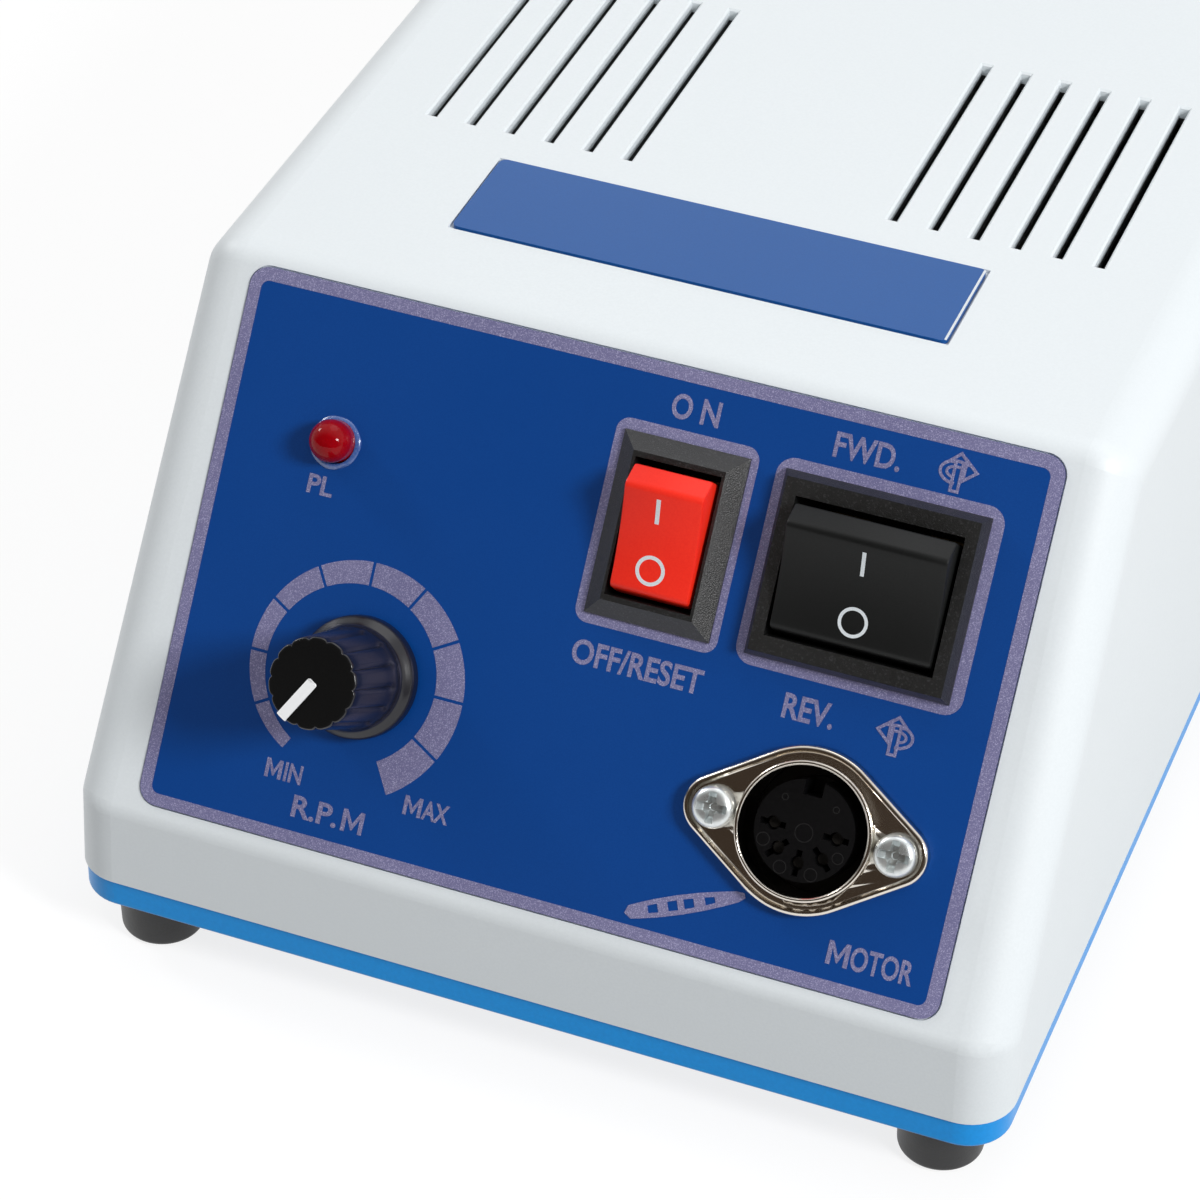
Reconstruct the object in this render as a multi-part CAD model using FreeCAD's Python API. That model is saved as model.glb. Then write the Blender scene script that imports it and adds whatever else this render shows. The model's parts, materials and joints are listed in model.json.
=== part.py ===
import FreeCAD, Part
import math
import os

# Control box of a dental laboratory micromotor, in millimetres.
# X runs to the right, Y to the back, Z up; the rubber feet stand on Z = 0 and the
# bounding box is centred on X = 0, Y = 0.

# Housing
body_width = 116.0          # white cover at the parting line
body_depth = 190.0
cover_height = 67.3         # above the parting line
wall = 2.5
side_draft = 1.5            # degrees, both side walls
front_draft = 1.0           # degrees, the upright band under the panel
front_band = 11.2           # height of that band
panel_angle = 55.7          # degrees from level
edge_radius = 5.8           # upright corners and the long side edges
crease_radius = 3.0         # band to panel
brow_radius = 3.6           # panel to top
back_radius = 5.0           # top to rear wall
least_round = 0.4           # inside the walls
foot_height = 7.0
tray_rim = 4.0              # blue band that shows under the white cover
tray_floor = 2.5
lip_overhang = 0.3          # the cover stands out over the tray all round
lip_gap = 0.3
tongue_height = 3.0         # tray wall inside the cover
tongue_width = 1.8
tray_edge_radius = 0.6

# Feet and the screws that hold the box together through them
foot_inset_x = 8.7
foot_inset_y = 7.2
foot_top_radius = 5.3
foot_bottom_radius = 5.0
foot_round = 0.9
foot_seat_depth = 4.0       # head of the screw lies this deep in the foot
post_radius = 4.0
post_start = 6.0            # posts meet the tray bosses this far above the tray floor
post_drill = 12.0
long_screw_radius = 1.45
long_screw_reach = 9.0      # into the post
head_radius = 2.75
head_height = 1.9
head_round_share = 0.45     # of a pan head's height
hole_clearance = 0.15       # round a screw in a plain hole
thread_clearance = 0.05     # round a screw in its thread, which is drawn plain

# Vents
slot_count = 6
slot_pitch = 5.04
slot_width = 1.2
slot_length = 37.6
slot_first = 16.6           # centre of the innermost slot from the middle
slot_start = 72.9           # from the front of the box
slot_edge = 0.25
floor_slot_count = 7
floor_slot_length = 34.0
floor_slot_width = 2.4
floor_slot_pitch = 8.0
floor_slot_start = 56.0

# Blue plates
plate_width = 97.7
plate_height = 64.1
plate_corner = 2.3
plate_thickness = 0.6
plate_proud = 0.2           # above the panel; the rest lies in a recess
plate_gap = 0.2
plate_margin = 2.0          # from the sharp crease to the plate's lower edge
top_plate_width = 60.4
top_plate_length = 15.6
top_plate_corner = 0.9
top_plate_start = 51.3      # from the front of the box
top_plate_gap = 0.3

# Places on the panel, from the middle of the plate: right, up
lamp_place = (-34.5, 14.4)
knob_place = (-25.3, -11.2)
power_place = (6.5, 13.2)
direction_place = (30.2, 13.2)
socket_place = (29.8, -14.9)

# Pilot lamp
lamp_radius = 2.5
lamp_reach = 4.3            # tip above the panel
lamp_length = 8.6
lamp_flange_radius = 2.9
lamp_flange = 1.0
lamp_clearance = 0.1
lamp_clip_radius = 4.6
lead_radius = 0.3
lead_spacing = 2.54
lead_length = 9.0

# Rocker switches
bezel_height = 2.1
bezel_edge = 0.4            # upright part of the bezel under its slope
bezel_length = 21.2
power_bezel_width = 15.0
direction_bezel_width = 24.0
power_rocker_width = 9.4
direction_rocker_width = 18.8
switch_body_length = 19.0
switch_body_side = 1.0      # body is narrower than the bezel on each side
switch_body_depth = 13.0
switch_floor = 2.0
cutout_gap = 0.15
well_side = 0.45            # between rocker and well, left and right
well_end = 7.95             # half length of the well
power_bevel = 2.0           # slope round the power switch's bezel
direction_bevel = 0.7
rocker_tilt = 15.0          # degrees each way
pivot_height = 0.9          # above the panel
rocker_edge = (6.2, 3.4)    # upper edge from the pivot: along, above
rocker_nose = (7.7, 0.6)    # widest point of the rocker's end
rocker_skirt = (5.6, -4.6)  # foot of the rocker's end
rocker_dish = 0.7           # hollow of the rocker's face
pivot_pin_radius = 1.2
pivot_pin_length = 0.9      # beyond the rocker's side, into the body
running_gap = 0.05
power_blade_rows = 1
direction_blade_rows = 2
blade_width = 4.8
blade_thickness = 0.8
blade_length = 8.0
blade_head = 1.0

# Speed knob and potentiometer
skirt_radius = 7.15
skirt_height = 1.1
collar_radius = 6.6         # upright band over the skirt
collar_low = 1.6
collar_high = 3.4
waist_radius = 5.85
waist_height = 4.6
cap_radius = 5.3
knob_height = 15.6
knob_lift = 0.5             # over the plate
knob_cap_round = 0.5
flute_count = 24
flute_radius = 0.42
flute_depth = 0.28
knob_recess_radius = 5.95
knob_recess_height = 2.3
pointer_width = 1.3
pointer_tail = 0.3          # beyond the knob's middle; the other end meets the cap's edge
pointer_round = 0.3
pointer_depth = 0.5
pointer_proud = 0.1
pointer_angle = 239.5       # degrees, MIN on the dial
knob_travel = 300.0         # degrees, MIN to MAX
shaft_radius = 3.0
shaft_bore_depth = 11.0     # in the knob
bushing_radius = 3.5
bushing_reach = 2.6         # above the panel
pot_radius = 8.2
pot_depth = 9.0
pot_wall = 1.2
rotor_radius = 6.0
rotor_height = 2.0
nut_across = 10.0
pot_nut_height = 1.6
washer_radius = 5.7
washer_thickness = 0.4
tag_root = 0.2              # the tags stop this far inside the can's wall
tag_width = 1.6
tag_thickness = 0.6
tag_length = 6.0
tag_pitch = 4.0

# Motor socket, five contacts on a half circle
socket_mouth_radius = 7.45
socket_ring_radius = 8.0
socket_ring_height = 2.2
socket_ring_round = 0.33
flange_radius = 9.6
flange_end_radius = 3.65
flange_thickness = 0.8
flange_rim = 1.6            # height of the rolled edge
flange_rim_width = 0.6
flange_round = 0.5
dish_round = 0.4            # from the rolled edge down to the flange
socket_screw_spacing = 21.4
barrel_radius = 7.8
barrel_depth = 10.0
barrel_lip = 0.6            # the barrel's back edge, turned in behind the insert
insert_radius = 5.8
insert_face = 1.5           # above the panel
insert_base = 2.2           # flange of the insert at the back of the barrel
insert_gap = 0.05
contact_count = 5
contact_circle = 3.7
contact_hole_radius = 0.8
contact_radius = 0.65
contact_slot_width = 0.7
contact_slot_reach = 1.5    # each way from the hole
contact_slot_depth = 3.0
contact_recess = 1.0
contact_tail = 5.0
key_width = 2.2
key_depth = 1.8
key_length = 5.0
socket_screw_radius = 1.45
socket_screw_head_radius = 2.5
socket_screw_head = 2.0
m3_nut_across = 5.5
m3_nut_height = 2.4
screw_tail = 1.2            # screw beyond its nut

# Rear wall: heights above the parting line; the room that is spare between the rear
# posts is shared out before the fuse holder, the jack, the inlet and the last post
inlet_rise = 26.0
fuse_rise = 20.0
jack_rise = 20.0
mode_rise = 44.0
rear_shares = (0.31, 0.24, 0.32)

# Mains inlet with flange
inlet_flange_width = 50.0
inlet_flange_height = 23.0
inlet_flange_corner = 4.0
inlet_flange_thickness = 3.0
inlet_body_width = 27.4
inlet_body_height = 19.8
inlet_body_depth = 16.0
inlet_corner_cut = 4.5
inlet_mouth_width = 24.2
inlet_mouth_height = 16.6
inlet_mouth_depth = 16.5
inlet_screw_spacing = 40.0
pin_width = 4.0
pin_thickness = 2.0
pin_reach = 12.0            # from the floor of the mouth
pin_side = 7.0
earth_pin_rise = 4.0
line_pin_drop = 1.5
pin_tail = 8.0

# Fuse holder
fuse_barrel_radius = 6.0
fuse_barrel_depth = 32.0
fuse_flange_radius = 8.2
fuse_flange = 2.0
fuse_flange_round = 0.8
fuse_bore_radius = 4.6
fuse_well_radius = 2.9
fuse_nut_across = 17.0
fuse_nut_height = 3.0
fuse_cap_radius = 6.4
fuse_cap_height = 8.0
fuse_cap_round = 0.7
fuse_plug_radius = 4.5
fuse_plug_length = 12.0
fuse_plug_play = 1.0        # room behind the plug
fuse_grip = 6.0             # of the fuse held in the cap
fuse_radius = 2.6
fuse_length = 20.0
fuse_end_length = 5.0
fuse_end_wall = 0.15
fuse_slot_width = 1.4
fuse_slot_depth = 1.6
fuse_travel = 36.0
fuse_turn = 60.0            # degrees

# Pedal jack
jack_bore_radius = 3.2
jack_bush_radius = 4.5
jack_bush_reach = 4.5       # beyond the rear wall
jack_nut_across = 12.0
jack_nut_height = 3.0
jack_body_width = 15.0
jack_body_height = 12.0
jack_body_depth = 22.0
jack_bore_depth = 20.0
jack_body_round = 1.0
jack_tag_width = 3.2
jack_tag_length = 5.0
jack_tag_root = 2.0         # of the tag inside the body

# Hand or foot slide switch
mode_body_width = 19.0
mode_body_height = 7.0
mode_body_depth = 8.0
mode_ear_width = 32.0
mode_ear_thickness = 0.8
mode_ear_corner = 1.5
mode_screw_spacing = 25.0
mode_knob_width = 4.0
mode_knob_height = 4.2
mode_knob_reach = 3.0       # beyond the rear wall
mode_foot_width = 8.0
mode_foot_height = 5.0
mode_foot_thickness = 3.0
mode_travel = 4.0
mode_gap = 0.25
mode_groove = 0.5           # width and depth of the finger grooves
mode_groove_pitch = 1.2
small_screw_radius = 1.2
small_head_radius = 2.3
small_head = 1.5

# Mains transformer
limb_width = 9.5            # outer limb of the core; the middle limb is twice as wide
stack_depth = 26.0
core_gap = 0.3
bobbin_wall = 1.0
winding_reach = 8.4         # beyond the bobbin's wall
winding_round = 3.0
transformer_place = (6.0, 33.0)      # X, behind the middle of the box
strap_seat = 3.0            # bosses for the strap's ears, above the tray floor
strap_thickness = 1.2
strap_bend = 1.8
strap_width = 16.0
strap_ear = 13.0
strap_hole_inset = 6.5

# Circuit board and what stands on it
board_width = 94.0
board_length = 58.0
board_thickness = 1.6
board_front = 49.0          # its front edge ahead of the middle of the box
board_rise = 6.0            # above the tray floor
board_hole_inset = 4.0
standoff_radius = 3.4
capacitor_radius = 8.0
capacitor_height = 25.0
capacitor_round = 0.8
score_length = 9.6          # cross that lets a can burst safely
score_width = 0.4
score_depth = 0.3
capacitor_place = ((-30.0, 16.0), (-12.0, 16.0))
rectifier_size = (23.0, 6.0, 19.0)
rectifier_corner = 3.0
rectifier_hole_radius = 1.6
rectifier_place = (10.0, 44.0)
relay_size = (19.0, 15.5, 15.5)
relay_round = 0.8
relay_place = (-30.0, 42.0)
heat_sink_size = (34.0, 20.0, 30.0)
heat_sink_place = (29.0, 30.0)
fin_count = 6
fin_base = 3.5
fin_thickness = 1.4
transistor_size = (10.2, 4.5, 15.5)
transistor_case = 9.3       # height of the moulded part
transistor_tab = 1.3
transistor_hole = 12.4
transistor_leg = 0.7
transistor_rise = 8.0
connector_size = (12.4, 6.0, 9.0)
connector_wall = 1.0
connector_floor = 1.5
connector_pin = 0.6
connector_xs = (-32.0, -15.0, 2.0, 19.0)
connector_place = 5.0
resistor_radius = 1.6
resistor_length = 9.0
resistor_count = 4
resistor_pitch = 5.5
resistor_place = (-8.0, 28.0)
lead_rise = 0.3

# What follows from these sizes
parting = foot_height + tray_rim
top_z = parting + cover_height
floor_z = foot_height + tray_floor
tilt = math.radians(panel_angle)
crease_y = front_band * math.tan(math.radians(front_draft))
crease_z = parting + front_band
plate_up = plate_margin + plate_height / 2.0
knob_top = plate_proud + knob_lift + knob_height + pointer_proud
cap_reach = (knob_top - pointer_proud - knob_cap_round) * math.sin(tilt)
cap_reach += (cap_radius - knob_cap_round) * math.cos(tilt) + knob_cap_round
front_reach = min(0.0, crease_y + (plate_up + knob_place[1]) * math.cos(tilt) - cap_reach)
rear_reach = body_depth + fuse_flange + fuse_cap_height
core_height = 5 * limb_width         # two yokes and a window three times as high
front_y = -(front_reach + rear_reach) / 2.0
rear_y = front_y + body_depth
middle_y = front_y + body_depth / 2.0

rear_room = body_width - 2 * (foot_inset_x + post_radius)
inlet_nut_reach = (inlet_screw_spacing + m3_nut_across) / 2
rear_taken = fuse_nut_across + (jack_body_width + jack_nut_across + inlet_flange_width) / 2
rear_taken += inlet_nut_reach
rear_spare = rear_room - rear_taken
fuse_x = -rear_room / 2 + rear_shares[0] * rear_spare + fuse_nut_across / 2
jack_x = fuse_x + rear_shares[1] * rear_spare + (fuse_nut_across + jack_body_width) / 2
inlet_x = jack_x + rear_shares[2] * rear_spare + (jack_nut_across + inlet_flange_width) / 2
fuse_place = (fuse_x, fuse_rise)
jack_place = (jack_x, jack_rise)
inlet_place = (inlet_x, inlet_rise)
mode_place = ((fuse_x + jack_x) / 2, mode_rise)


def vec(x, y, z):
    return FreeCAD.Vector(x, y, z)


def block(x_from, x_to, y_from, y_to, z_from, z_to):
    return Part.makeBox(x_to - x_from, y_to - y_from, z_to - z_from, vec(x_from, y_from, z_from))


def slab(width, length, z_from, z_to, x=0.0, y=0.0):
    # a block centred on x, y
    return block(x - width / 2, x + width / 2, y - length / 2, y + length / 2, z_from, z_to)


def rod(radius, z_from, z_to, x=0.0, y=0.0):
    return Part.makeCylinder(radius, z_to - z_from, vec(x, y, z_from))


def tube(outer, inner, z_from, z_to, x=0.0, y=0.0):
    return rod(outer, z_from, z_to, x, y).cut(rod(inner, z_from, z_to, x, y))


def hexagon(across, z_from, z_to, x=0.0, y=0.0):
    radius = across / math.sqrt(3.0)
    turns = [math.pi / 6 + math.pi * corner / 3 for corner in range(7)]
    corners = [vec(x + radius * math.cos(turn), y + radius * math.sin(turn), z_from) for turn in turns]
    return Part.Face(Part.makePolygon(corners)).extrude(vec(0, 0, z_to - z_from))


def edges_along(shape, direction):
    # straight edges that run along one of the axes
    found = []
    for edge in shape.Edges:
        if len(edge.Vertexes) == 2:
            run = edge.Vertexes[1].Point - edge.Vertexes[0].Point
            if abs(abs(run * direction) - run.Length) < 1e-6 and run.Length > 1e-6:
                found.append(edge)
    return found


def edges_above(shape, level):
    return [e for e in shape.Edges if e.BoundBox.ZMin > level - 1e-6]


def edges_below(shape, level):
    return [e for e in shape.Edges if e.BoundBox.ZMax < level + 1e-6]


def rounded_slab(width, length, z_from, z_to, corner, x=0.0, y=0.0):
    body = slab(width, length, z_from, z_to, x, y)
    return body.makeFillet(corner, edges_along(body, vec(0, 0, 1)))


def revolved(points):
    # a closed outline of radius and height, turned about Z
    wire = Part.makePolygon([vec(r, 0, z) for r, z in points + points[:1]])
    return Part.Face(wire).revolve(vec(0, 0, 0), vec(0, 0, 1), 360)


def joined(shapes):
    body = shapes[0].fuse(shapes[1:]) if len(shapes) > 1 else shapes[0]
    return body.removeSplitter()


def group(shapes):
    return Part.makeCompound(shapes)


def moved(shape, x, y, z):
    copy = shape.copy()
    copy.translate(vec(x, y, z))
    return copy


def placed(shape, frame):
    copy = shape.copy()
    copy.Placement = frame.multiply(copy.Placement)
    return copy


def panel_frame():
    # X right, Y up the slope, Z out of the panel, from the middle of the plate
    turn = FreeCAD.Rotation(vec(1, 0, 0), panel_angle)
    foot = vec(0, front_y + crease_y, crease_z)
    return FreeCAD.Placement(foot + turn.multVec(vec(0, plate_up, 0)), turn)


def rear_frame(place):
    # seen from behind: X right, Y up, Z out of the rear wall
    turn = FreeCAD.Rotation(vec(-1, 0, 0), vec(0, 0, 1), vec(0, 1, 0), "ZXY")
    return FreeCAD.Placement(vec(place[0], rear_y, parting + place[1]), turn)


def on_panel(shape):
    return placed(shape, panel_frame())


def on_rear(shape, place):
    return placed(shape, rear_frame(place))


# Cover

def crossing(point_a, along_a, point_b, along_b):
    # where two lines of the side view meet
    bend = along_a[0] * along_b[1] - along_a[1] * along_b[0]
    gap = (point_b[0] - point_a[0], point_b[1] - point_a[1])
    step = (gap[0] * along_b[1] - gap[1] * along_b[0]) / bend
    return (point_a[0] + step * along_a[0], point_a[1] + step * along_a[1])


def side_view(inset, bottom):
    # corners of the cover's outline in Y and Z, every wall moved in by inset
    lean = math.radians(front_draft)
    band = (math.sin(lean), math.cos(lean))
    slope = (math.cos(tilt), math.sin(tilt))
    band_foot = (front_y + inset * math.cos(lean), parting - inset * math.sin(lean))
    slope_foot = (front_y + crease_y + inset * math.sin(tilt), crease_z - inset * math.cos(tilt))
    back = (rear_y - inset, parting)
    roof = (0.0, top_z - inset)
    level = (1.0, 0.0)
    upright = (0.0, 1.0)
    return [crossing(band_foot, band, (0.0, bottom), level),
            crossing(band_foot, band, slope_foot, slope),
            crossing(slope_foot, slope, roof, level),
            crossing(roof, level, back, upright),
            (back[0], bottom)]


def softened(radius, inset):
    return max(radius - inset, least_round)


def bends_at(prism, corner):
    # the edge along X through one corner of the side view
    return [e for e in edges_along(prism, vec(1, 0, 0))
            if (e.Vertexes[0].Point - corner).cross(vec(1, 0, 0)).Length < 1e-6]


def cover_block(inset, bottom):
    # the cover's outer form as a solid, or its hollow when inset is the wall
    corners = [vec(0, y, z) for y, z in side_view(inset, bottom)]
    reach = body_width
    prism = Part.Face(Part.makePolygon(corners + corners[:1])).extrude(vec(2 * reach, 0, 0))
    prism.translate(vec(-reach, 0, 0))
    rounds = (crease_radius, brow_radius, back_radius)
    for radius, corner in zip(rounds, corners[1:4]):
        prism = prism.makeFillet(softened(radius, inset), bends_at(prism, corner))
    lean = math.tan(math.radians(side_draft))
    half = body_width / 2 - inset / math.cos(math.radians(side_draft))
    low = half + (parting - bottom) * lean
    high = half - (top_z - parting) * lean
    ends = [vec(-low, 0, bottom), vec(low, 0, bottom), vec(high, 0, top_z), vec(-high, 0, top_z)]
    wedge = Part.Face(Part.makePolygon(ends + ends[:1])).extrude(vec(0, 2 * body_depth, 0))
    wedge.translate(vec(0, -body_depth, 0))
    body = prism.common(wedge).removeSplitter()
    return body.makeFillet(softened(edge_radius, inset), side_chain(body))


def side_chain(body):
    # every edge between a side wall and the faces it meets, but not the open bottom
    low = body.BoundBox.ZMin
    sides = [f for f in body.Faces if abs(f.normalAt(0, 0).x) > 0.9]
    chain = []
    for face in sides:
        chain += [e for e in face.Edges if max(v.Z for v in e.Vertexes) > low + 1e-6]
    return chain


def post_places():
    x = body_width / 2 - foot_inset_x
    front = front_y + foot_inset_y
    back = rear_y - foot_inset_y
    return [(-x, front), (x, front), (-x, back), (x, back)]


def panel_openings():
    # holes through the slope and the plate on it, in the panel's frame
    low = -3 * wall
    high = 2 * wall
    cuts = []
    for place, bezel in ((power_place, power_bezel_width), (direction_place, direction_bezel_width)):
        width = bezel - 2 * switch_body_side + 2 * cutout_gap
        cuts.append(slab(width, switch_body_length + 2 * cutout_gap, low, high, *place))
    cuts.append(rod(bushing_radius + hole_clearance, low, high, *knob_place))
    cuts.append(rod(lamp_radius + lamp_clearance, low, high, *lamp_place))
    cuts.append(rod(barrel_radius + hole_clearance, low, high, *socket_place))
    for side in (-1, 1):
        x = socket_place[0] + side * socket_screw_spacing / 2
        cuts.append(rod(socket_screw_radius + hole_clearance, low, high, x, socket_place[1]))
    return cuts


def rear_openings():
    # holes through the rear wall
    cuts = []
    inlet = slab(inlet_body_width + 2 * cutout_gap, inlet_body_height + 2 * cutout_gap, -2 * wall, wall)
    cuts.append(on_rear(inlet, inlet_place))
    for side in (-1, 1):
        hole = rod(socket_screw_radius + hole_clearance, -2 * wall, wall, side * inlet_screw_spacing / 2)
        cuts.append(on_rear(hole, inlet_place))
    cuts.append(on_rear(rod(fuse_barrel_radius + hole_clearance, -2 * wall, wall), fuse_place))
    cuts.append(on_rear(rod(jack_bush_radius + hole_clearance, -2 * wall, wall), jack_place))
    window = slab(mode_knob_width + mode_travel + 2 * mode_gap, mode_knob_height + 2 * mode_gap,
                  -2 * wall, wall)
    cuts.append(on_rear(window, mode_place))
    for side in (-1, 1):
        hole = rod(small_screw_radius + hole_clearance, -2 * wall, wall, side * mode_screw_spacing / 2)
        cuts.append(on_rear(hole, mode_place))
    return cuts


def vent_slots():
    # two groups of slots with softened upper edges
    cuts = []
    start = front_y + slot_start
    for side in (-1, 1):
        for index in range(slot_count):
            x = side * (slot_first + index * slot_pitch)
            cuts.append(slab(slot_width, slot_length, top_z - 2 * wall, top_z + wall,
                             x, start + slot_length / 2))
            flare = slab(slot_width + 2 * slot_edge, slot_length + 2 * slot_edge, top_z - slot_edge,
                         top_z + wall, x, start + slot_length / 2)
            cuts.append(flare.makeChamfer(slot_edge * 0.99, edges_below(flare, top_z - slot_edge)))
    return cuts


def top_cover():
    outside = cover_block(0.0, parting)
    body = outside.cut(cover_block(wall, parting - wall))
    boss_top = floor_z + post_start
    lining = cover_block(wall / 2, boss_top)
    posts = [rod(post_radius, boss_top, top_z, x, y).common(lining) for x, y in post_places()]
    body = joined([body] + posts)
    drills = [rod(long_screw_radius + thread_clearance, parting - wall, boss_top + post_drill, x, y)
              for x, y in post_places()]
    body = body.cut(drills + rear_openings() + vent_slots())
    seat = rounded_slab(plate_width + 2 * plate_gap, plate_height + 2 * plate_gap,
                        plate_proud - plate_thickness, wall, plate_corner + plate_gap)
    body = body.cut([on_panel(cut) for cut in [seat] + panel_openings()])
    name_seat = slab(top_plate_width + 2 * top_plate_gap, top_plate_length + 2 * top_plate_gap,
                     top_z + plate_proud - plate_thickness, top_z + wall,
                     0, front_y + top_plate_start + top_plate_length / 2)
    return body.cut(name_seat)


def tray_outline(inset, z_from, z_to, corner):
    width = body_width - 2 * inset
    length = body_depth - 2 * inset
    return rounded_slab(width, length, z_from, z_to, max(corner, least_round), 0, middle_y)


def base_tray():
    tray = tray_outline(lip_overhang, foot_height, parting, edge_radius - lip_overhang)
    tray = tray.makeFillet(tray_edge_radius, edges_below(tray, foot_height))
    lean = math.tan(math.radians(max(side_draft, front_draft)))
    tongue_inset = wall + lip_gap + tongue_height * lean
    inner_inset = tongue_inset + tongue_width
    tongue = tray_outline(tongue_inset, parting - tray_rim / 2, parting + tongue_height,
                          edge_radius - tongue_inset)
    hollow = tray_outline(inner_inset, floor_z, parting + tongue_height + 1, edge_radius - inner_inset)
    body = joined([tray, tongue]).cut(hollow)
    bosses = [rod(post_radius, foot_height, floor_z + post_start, x, y) for x, y in post_places()]
    bosses += [rod(standoff_radius, foot_height, floor_z + board_rise, x, y) for x, y in board_holes()]
    bosses += [rod(standoff_radius, foot_height, floor_z + strap_seat, x, y) for x, y in strap_holes()]
    body = joined([body] + bosses)
    cuts = [rod(long_screw_radius + hole_clearance, foot_height - 1, floor_z + post_start + 1, x, y)
            for x, y in post_places()]
    cuts += [rod(small_screw_radius + thread_clearance, foot_height + tray_floor / 2, top_z, x, y)
             for x, y in board_holes() + strap_holes()]
    for index in range(floor_slot_count):
        x = (index - (floor_slot_count - 1) / 2) * floor_slot_pitch
        y = front_y + floor_slot_start + floor_slot_length / 2
        cuts.append(slab(floor_slot_width, floor_slot_length, foot_height - 1, floor_z + 1, x, y))
    return body.cut(cuts)


def rubber_foot(x, y):
    hole = long_screw_radius + hole_clearance
    well = head_radius + 2 * hole_clearance
    foot = revolved([(hole, foot_seat_depth), (well, foot_seat_depth), (well, 0.0),
                     (foot_bottom_radius, 0.0), (foot_top_radius, foot_height), (hole, foot_height)])
    rim = [e for e in edges_below(foot, 0.0) if e.BoundBox.XMax > foot_bottom_radius - 1e-3]
    foot = foot.makeFillet(foot_round, rim)
    return moved(foot, x, y, 0)


def pan_screw(radius, head, head_thickness, reach):
    # head from 0 up to its thickness, shank down to -reach
    body = joined([rod(head, 0, head_thickness), rod(radius, -reach, 0)])
    return body.makeFillet(head_round_share * head_thickness, edges_above(body, head_thickness))


def upturned(shape, x, y, z):
    # for a screw that is driven from below
    turned = shape.copy()
    turned.rotate(vec(0, 0, 0), vec(1, 0, 0), 180)
    return moved(turned, x, y, z)


def cover_screws():
    reach = floor_z + post_start + long_screw_reach - foot_seat_depth
    screw = pan_screw(long_screw_radius, head_radius, head_height, reach)
    return group([upturned(screw, x, y, foot_seat_depth) for x, y in post_places()])


# Plates

def panel_plate():
    plate = rounded_slab(plate_width, plate_height, plate_proud - plate_thickness, plate_proud, plate_corner)
    return on_panel(plate.cut(panel_openings()))


def top_plate():
    z_from = top_z + plate_proud - plate_thickness
    return rounded_slab(top_plate_width, top_plate_length, z_from, top_z + plate_proud, top_plate_corner,
                        0, front_y + top_plate_start + top_plate_length / 2)


# Pilot lamp

def power_lamp():
    base = lamp_reach - lamp_length
    shoulder = lamp_reach - lamp_radius
    dome = Part.makeSphere(lamp_radius, vec(0, 0, shoulder), vec(0, 0, 1), 0, 90, 360)
    flange = rod(lamp_flange_radius, base, base + lamp_flange)
    return on_panel(moved(joined([rod(lamp_radius, base, shoulder), flange, dome]), *lamp_place, 0))


def lamp_clip():
    base = lamp_reach - lamp_length + lamp_flange
    clip = tube(lamp_clip_radius, lamp_radius + lamp_clearance / 2, base, -wall)
    return on_panel(moved(clip, *lamp_place, 0))


def lamp_leads():
    base = lamp_reach - lamp_length
    leads = group([rod(lead_radius, base - lead_length, base, side * lead_spacing / 2) for side in (-1, 1)])
    return on_panel(moved(leads, *lamp_place, 0))


# Rocker switches

def switch_body(place, bezel_width, rocker_width, bevel, blade_rows):
    seat = plate_proud
    base = slab(bezel_width, bezel_length, seat, seat + bezel_edge)
    low = rectangle(bezel_width, bezel_length, seat + bezel_edge)
    high = rectangle(bezel_width - 2 * bevel, bezel_length - 2 * bevel, seat + bezel_height)
    frame = Part.makeLoft([low, high], True, True)
    width = bezel_width - 2 * switch_body_side
    box = slab(width, switch_body_length, seat - switch_body_depth, seat + bezel_edge / 2)
    body = joined([base, frame, box])
    well_width = rocker_width + 2 * well_side
    well = slab(well_width, 2 * well_end, seat - switch_body_depth + switch_floor, seat + 2 * bezel_height)
    pins = pivot_pins(rocker_width, pivot_pin_radius + running_gap, pivot_pin_length + running_gap)
    body = body.cut([well, pins] + blade_set(bezel_width, blade_rows, running_gap))
    return on_panel(moved(body, *place, 0))


def rectangle(width, length, z):
    corners = [vec(-width / 2, -length / 2, z), vec(width / 2, -length / 2, z),
               vec(width / 2, length / 2, z), vec(-width / 2, length / 2, z)]
    return Part.makePolygon(corners + corners[:1])


def pivot_pins(rocker_width, radius, reach):
    # one pin through the rocker and both its ends
    half = rocker_width / 2 + reach
    return Part.makeCylinder(radius, 2 * half, vec(-half, 0, pivot_height), vec(1, 0, 0))


def blade_set(bezel_width, row_count, gap):
    # blades pass through the body's floor, three in a row
    floor = plate_proud - switch_body_depth
    pitch = (switch_body_length - blade_thickness) / 3
    blades = []
    for row in range(row_count):
        x = (row - (row_count - 1) / 2) * bezel_width / 2
        for index in (-1, 0, 1):
            blades.append(slab(blade_width + 2 * gap, blade_thickness + 2 * gap, floor - blade_length,
                               floor + switch_floor + blade_head, x, index * pitch))
    return blades


def switch_blades(place, bezel_width, row_count):
    return on_panel(moved(group(blade_set(bezel_width, row_count, 0.0)), *place, 0))


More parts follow.
